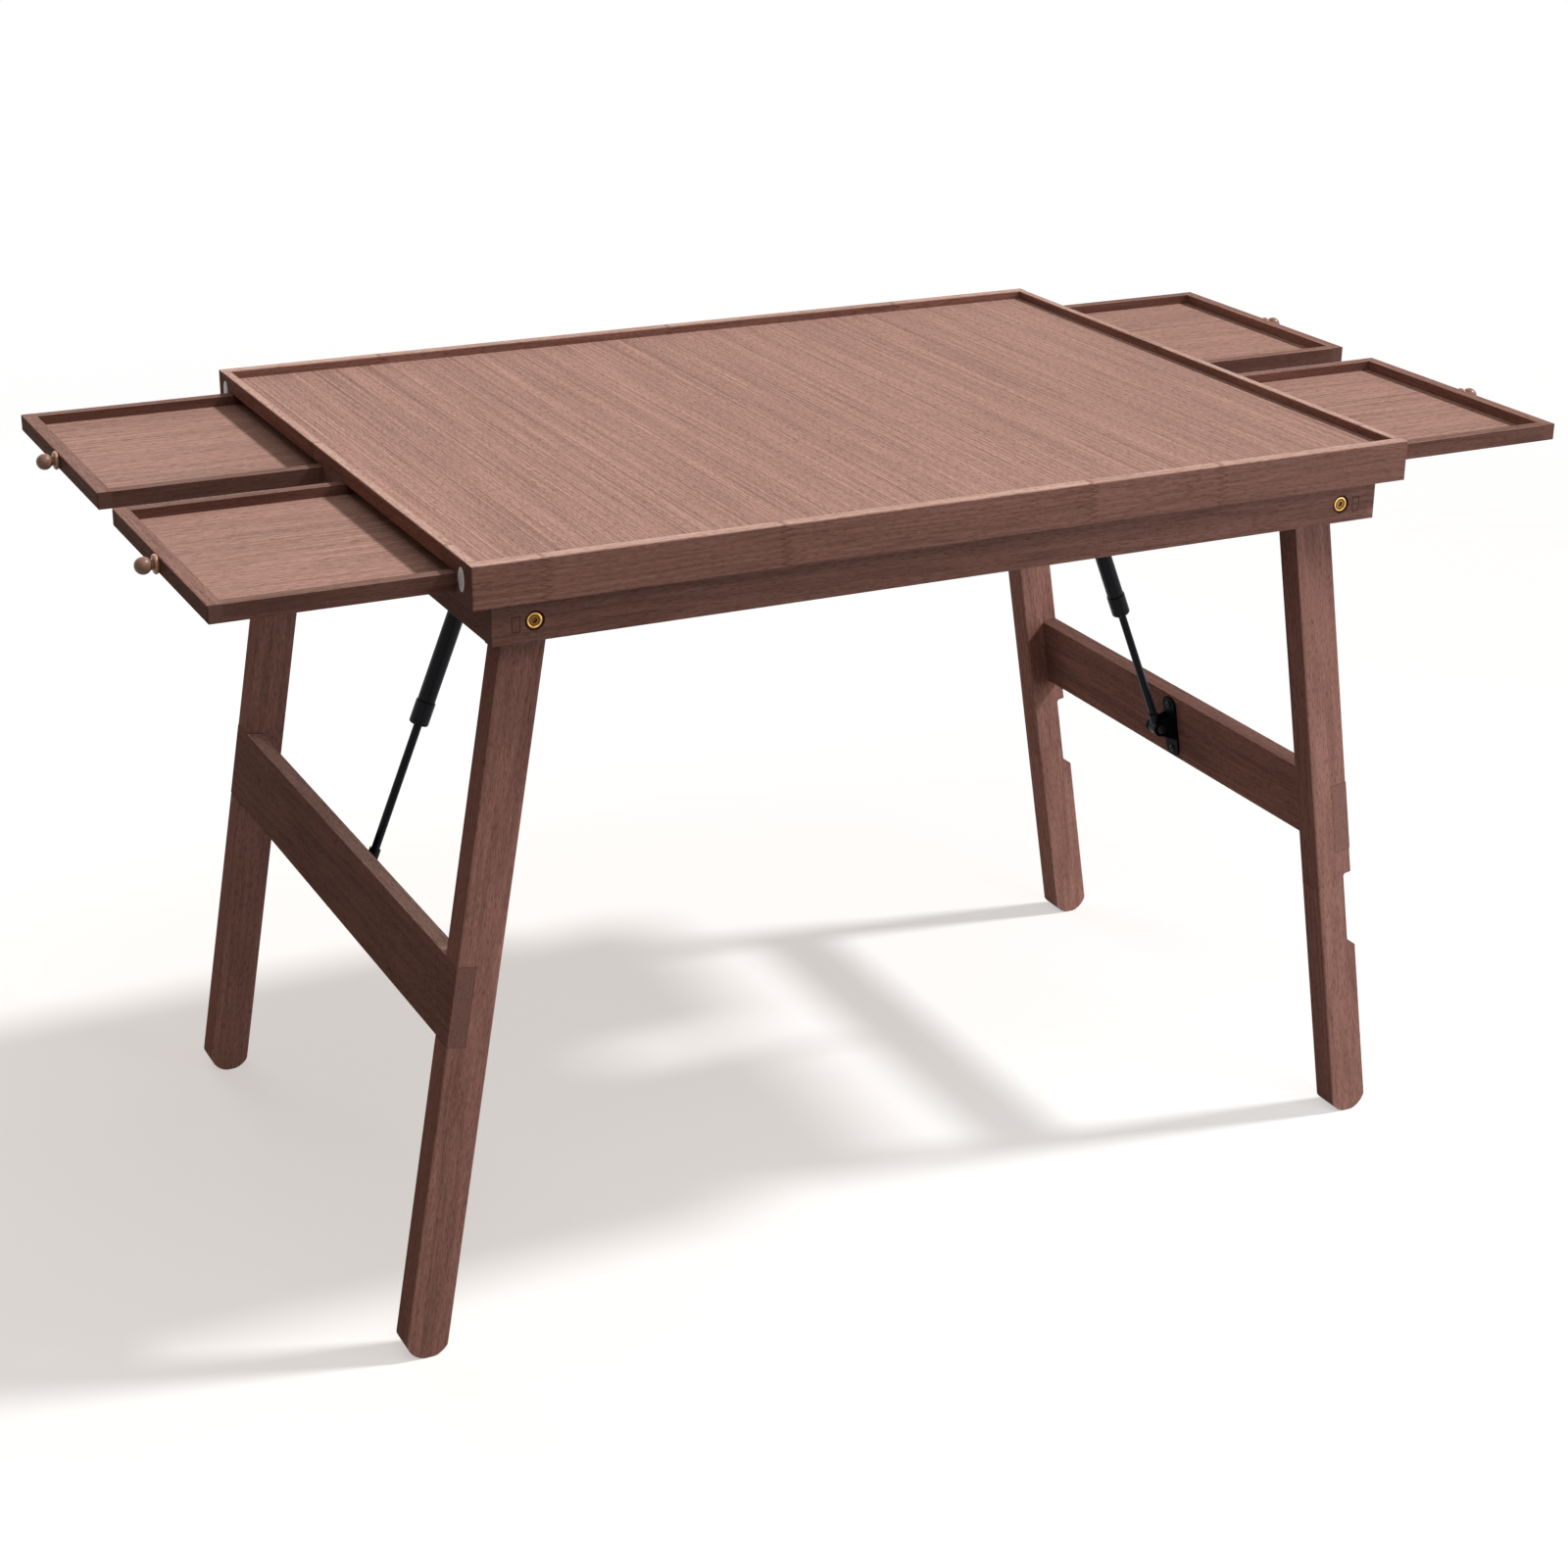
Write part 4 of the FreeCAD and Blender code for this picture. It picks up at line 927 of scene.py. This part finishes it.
class TABLE_OT_fasteners(bpy.types.Operator):
    """Set pivot bolts, cap nuts, screws, strut pins and oval plugs on their seats"""

    bl_idname = "puzzle_table.fasteners"
    bl_label = "Set Fasteners"

    plated = {"roughness": 0.36, "peel_per_metre": 900.0, "sheen": 0.18}

    def bolts(self, hardware, group):
        """Brass bolts outside the apron and their cap nuts inside it."""
        brass = polished_brass()
        bolt = {"Width": hardware.bolt_width, "Length": hardware.bolt_width, "Height": hardware.bolt_height,
                "Roundness": 6.0, "Dish Width": hardware.bolt_width * 0.78, "Dish Depth": 0.9 * MM,
                "Key Width": hardware.bolt_key / math.cos(math.pi / 6), "Key Depth": 1.6 * MM, "Key Sides": 6,
                "Shank Width": 6.0 * MM, "Shank Length": 30.0 * MM}
        set_fasteners("brass_pivot_bolts", "table", "pivot_bolts", outward_facing(GRAIN_Y),
                      brass, group, bolt)
        nut = {**bolt, "Height": hardware.nut_height, "Dish Depth": 0.3 * MM, "Shank Width": 8.0 * MM,
               "Shank Length": 34.0 * MM}
        set_fasteners("brass_cap_nuts", "table", "pivot_cap_nuts", outward_facing(GRAIN_Y, -1),
                      brass, group, nut)

    def screws(self, hardware, group):
        """Screws of the anchors and brackets, and the riveted pins in the brackets."""
        black = black_metal("screw_black", hardware.screw_black, **self.plated)
        screw = {"Width": hardware.screw_width, "Length": hardware.screw_width,
                 "Height": hardware.screw_height, "Roundness": 2.6, "Dish Width": 1.0 * MM, "Dish Depth": 0.0,
                 "Key Width": 3.4 * MM, "Key Depth": 0.9 * MM, "Key Sides": 6, "Shank Width": 4.0 * MM,
                 "Shank Length": 9.0 * MM}
        down = Vector((0, 0, -1))
        set_fasteners("black_anchor_screws", "table", "anchor_screws", same_facing(down),
                      black, group, screw)
        pin = {**screw, "Width": hardware.pin_width, "Length": hardware.pin_width, "Key Depth": 0.0,
               "Shank Width": 6.0 * MM, "Shank Length": 8.0 * MM}
        for side, sign in SIDES.items():
            inward = Vector((-sign * math.cos(LEG_SPLAY), 0, -math.sin(LEG_SPLAY)))
            set_fasteners(side + "_black_bracket_screws", side + "_legs", side + "_bracket_screws",
                          same_facing(inward), black, group, screw)
            set_fasteners(side + "_riveted_pin", side + "_legs", side + "_strut_pin",
                          same_facing(GRAIN_Y, -GRAIN_Y), black, group, pin)

    def plugs(self, hardware, group):
        """White oval plugs on the corner posts."""
        white = moulded_plastic("plug_white", hardware.plug_white)
        plug = {"Width": hardware.plug_height, "Length": hardware.plug_width, "Height": hardware.plug_rise,
                "Roundness": 2.8, "Dish Width": 1.0 * MM, "Dish Depth": 0.0, "Key Width": 1.0 * MM,
                "Key Depth": 0.0, "Key Sides": 6, "Shank Width": 6.0 * MM, "Shank Length": 5.0 * MM}
        set_fasteners("white_corner_plugs", "table", "corner_plugs", outward_facing(GRAIN_X),
                      white, group, plug)

    def execute(self, context):
        hardware = context.scene.table_hardware
        group = head_tree()
        self.bolts(hardware, group)
        self.screws(hardware, group)
        self.plugs(hardware, group)
        return {"FINISHED"}


# Stage

def seen_rays(tree):
    """One for rays that the eye, a reflection or glass sends out, and nought for light that bounces."""
    camera = tree.node("ShaderNodeLightPath", output="Is Camera Ray")
    outputs = camera.socket.node.outputs
    glossy, glass = (Sock(tree, outputs[name]) for name in ("Is Glossy Ray", "Is Transmission Ray"))
    return (camera + glossy + glass).math("MINIMUM", 1.0)


class TABLE_OT_stage(bpy.types.Operator):
    """Lay a pale floor and set the lamps and the camera"""

    bl_idname = "puzzle_table.stage"
    bl_label = "Set Stage"

    # Half the floor's width, where it runs out to white, and the middle and fading of the warm tint painted
    # over the table's shadow
    floor_reach = 30.0
    floor_clear = (0.3, 4.2)
    shadow_tint_middle = (-0.3, 0.1, 0.0)
    shadow_tint_fade = (0.3, 1.25)
    floor_mottle = ((0.98, 0.978, 0.975), (1, 0.999, 0.998))
    mottle_per_metre = 3.0
    key_distance = 5
    # Each wide lamp's place, the spot that it looks at, its width and its colour
    wide_lamps = {
        "soft": ((-0.25, -1.6, 2.6), (0, 0, 0.6), 2.0, (1, 1, 1)),
        "fill": ((1.15, -1.6, 0.6), (0.4, -0.3, 0.5), 1.0, (0.88, 1.0, 1.08)),
        "back": ((-0.6, 2.4, 1.3), (0, 0.3, 0.5), 1.6, (1, 1, 1)),
    }
    sensor_width = 36.0
    farthest_view = 100.0

    def floor(self, stage):
        """A wide pale floor that keeps the shadow near the table and runs out to white."""
        half = self.floor_reach
        corners = [(-half, -half, 0), (half, -half, 0), (half, half, 0), (-half, half, 0)]
        mesh = bpy.data.meshes.new("floor")
        mesh.from_pydata(corners, [], [(0, 1, 2, 3)])
        floor = bpy.data.objects.new("floor", mesh)
        bpy.context.scene.collection.objects.link(floor)
        mesh.materials.append(self.floor_finish(stage))

    def floor_finish(self, stage):
        """Matt white that stays light in the shadow, and sends only some light back to the table."""
        pale = Finish("pale_floor")
        away = pale.length(pale.place).ramp(*self.floor_clear)
        plain = pale.mix(pale.speckle(self.mottle_per_metre), *(rgba(tone) for tone in self.floor_mottle))
        shaded = pale.node("ShaderNodeBsdfDiffuse", None, {"Color": plain})
        # Painted shadow colour: a warm tint on the floor's glow, strongest over the table's shadow
        near = pale.length(pale.vector("SUBTRACT", pale.place, self.shadow_tint_middle))
        tint = pale.mix(near.ramp(*self.shadow_tint_fade), rgba(stage.shadow_warmth), WHITE)
        white = pale.node("ShaderNodeEmission", None, {"Color": tint, "Strength": 1.0})
        whiteness = away * (1 - stage.floor_white) + stage.floor_white
        shown = pale.node("ShaderNodeMixShader", None, [whiteness, shaded, white])
        bounce = pale.node("ShaderNodeBsdfDiffuse", None, {"Color": rgba((1, 1, 1), stage.floor_bounce)})
        both = pale.node("ShaderNodeMixShader", None, [seen_rays(pale), bounce, shown])
        pale.tree.nodes.remove(pale.shader)
        pale.feed(pale.tree.nodes["Material Output"].inputs["Surface"], both)
        return pale.material

    def room(self, stage):
        """Even light from all round, white to the eye and in reflections."""
        world = bpy.data.worlds.new("studio")
        world.use_nodes = True
        bpy.context.scene.world = world
        tree = Tree(world.node_tree)
        light = tree.mix(seen_rays(tree), rgba(stage.room_colour, stage.room_level), WHITE)
        back = world.node_tree.nodes["Background"]
        tree.feed(back.inputs["Color"], light)
        tree.feed(back.inputs["Strength"], 1.0)

    def lamp(self, name, kind, place, target, **settings):
        """A lamp that looks from a place at a target and stays out of the picture."""
        light = bpy.data.lights.new(name, kind)
        for key, value in settings.items():
            setattr(light, key, value)
        lamp = bpy.data.objects.new(name, light)
        lamp.location = place
        lamp.visible_camera = False
        lamp.rotation_euler = (Vector(target) - Vector(place)).to_track_quat("-Z", "Y").to_euler()
        bpy.context.scene.collection.objects.link(lamp)

    def lamps(self, stage):
        """A key light from the right, and three wide lamps above, in front and behind."""
        flat = math.cos(stage.key_height)
        towards = Vector((flat * math.cos(stage.key_side), -flat * math.sin(stage.key_side),
                          math.sin(stage.key_height)))
        self.lamp("key", "SUN", towards * self.key_distance, (0, 0, 0), energy=stage.key_level,
                  angle=stage.key_softness)
        for name, (place, target, width, tint) in self.wide_lamps.items():
            self.lamp(name, "AREA", place, target, energy=getattr(stage, name + "_level"), color=tint,
                      shape="DISK", size=width)

    def camera(self, stage):
        """The camera from its heading, dip and roll."""
        flat = math.cos(stage.dip)
        ahead = Vector((math.sin(stage.heading) * flat, math.cos(stage.heading) * flat, -math.sin(stage.dip)))
        level = Vector((math.cos(stage.heading), -math.sin(stage.heading), 0))
        above = level.cross(ahead)
        right = level * math.cos(stage.roll) + above * math.sin(stage.roll)
        up = above * math.cos(stage.roll) - level * math.sin(stage.roll)
        data = bpy.data.cameras.new("photo_camera")
        data.lens = stage.lens
        data.sensor_width = self.sensor_width
        data.clip_end = self.farthest_view
        camera = bpy.data.objects.new("photo_camera", data)
        turn = Matrix((right, up, -ahead)).transposed().to_4x4()
        camera.matrix_world = Matrix.Translation(Vector(stage.eye)) @ turn
        bpy.context.scene.collection.objects.link(camera)
        bpy.context.scene.camera = camera

    def execute(self, context):
        stage = context.scene.table_stage
        context.scene.view_settings.view_transform = "Standard"
        self.floor(stage)
        self.room(stage)
        self.lamps(stage)
        self.camera(stage)
        return {"FINISHED"}


OPERATORS = (TABLE_OT_box, TABLE_OT_apron, TABLE_OT_legs, TABLE_OT_drawers, TABLE_OT_knobs, TABLE_OT_struts,
             TABLE_OT_fasteners, TABLE_OT_stage)


class TABLE_PT_panel(bpy.types.Panel):
    """Settings of the puzzle table and the steps that finish it"""

    bl_idname = "TABLE_PT_panel"
    bl_label = "Puzzle Table"
    bl_space_type = "VIEW_3D"
    bl_region_type = "UI"
    bl_category = "Puzzle Table"

    def draw(self, context):
        for pointer, group in SETTINGS.items():
            box = self.layout.box()
            for name in group.__annotations__:
                box.prop(getattr(context.scene, pointer), name)
        for operator in OPERATORS:
            self.layout.operator(operator.bl_idname)


CLASSES = (*SETTINGS.values(), *OPERATORS, TABLE_PT_panel)


def register():
    for each in CLASSES:
        bpy.utils.register_class(each)
    for pointer, group in SETTINGS.items():
        setattr(bpy.types.Scene, pointer, PointerProperty(type=group))


def unregister():
    for pointer in SETTINGS:
        delattr(bpy.types.Scene, pointer)
    for each in reversed(CLASSES):
        bpy.utils.unregister_class(each)


def main():
    register()
    bpy.ops.puzzle_table.box()
    bpy.ops.puzzle_table.apron()
    bpy.ops.puzzle_table.legs()
    bpy.ops.puzzle_table.drawers()
    bpy.ops.puzzle_table.knobs()
    bpy.ops.puzzle_table.struts()
    bpy.ops.puzzle_table.fasteners()
    bpy.ops.puzzle_table.stage()


if __name__ == "__main__":
    main()
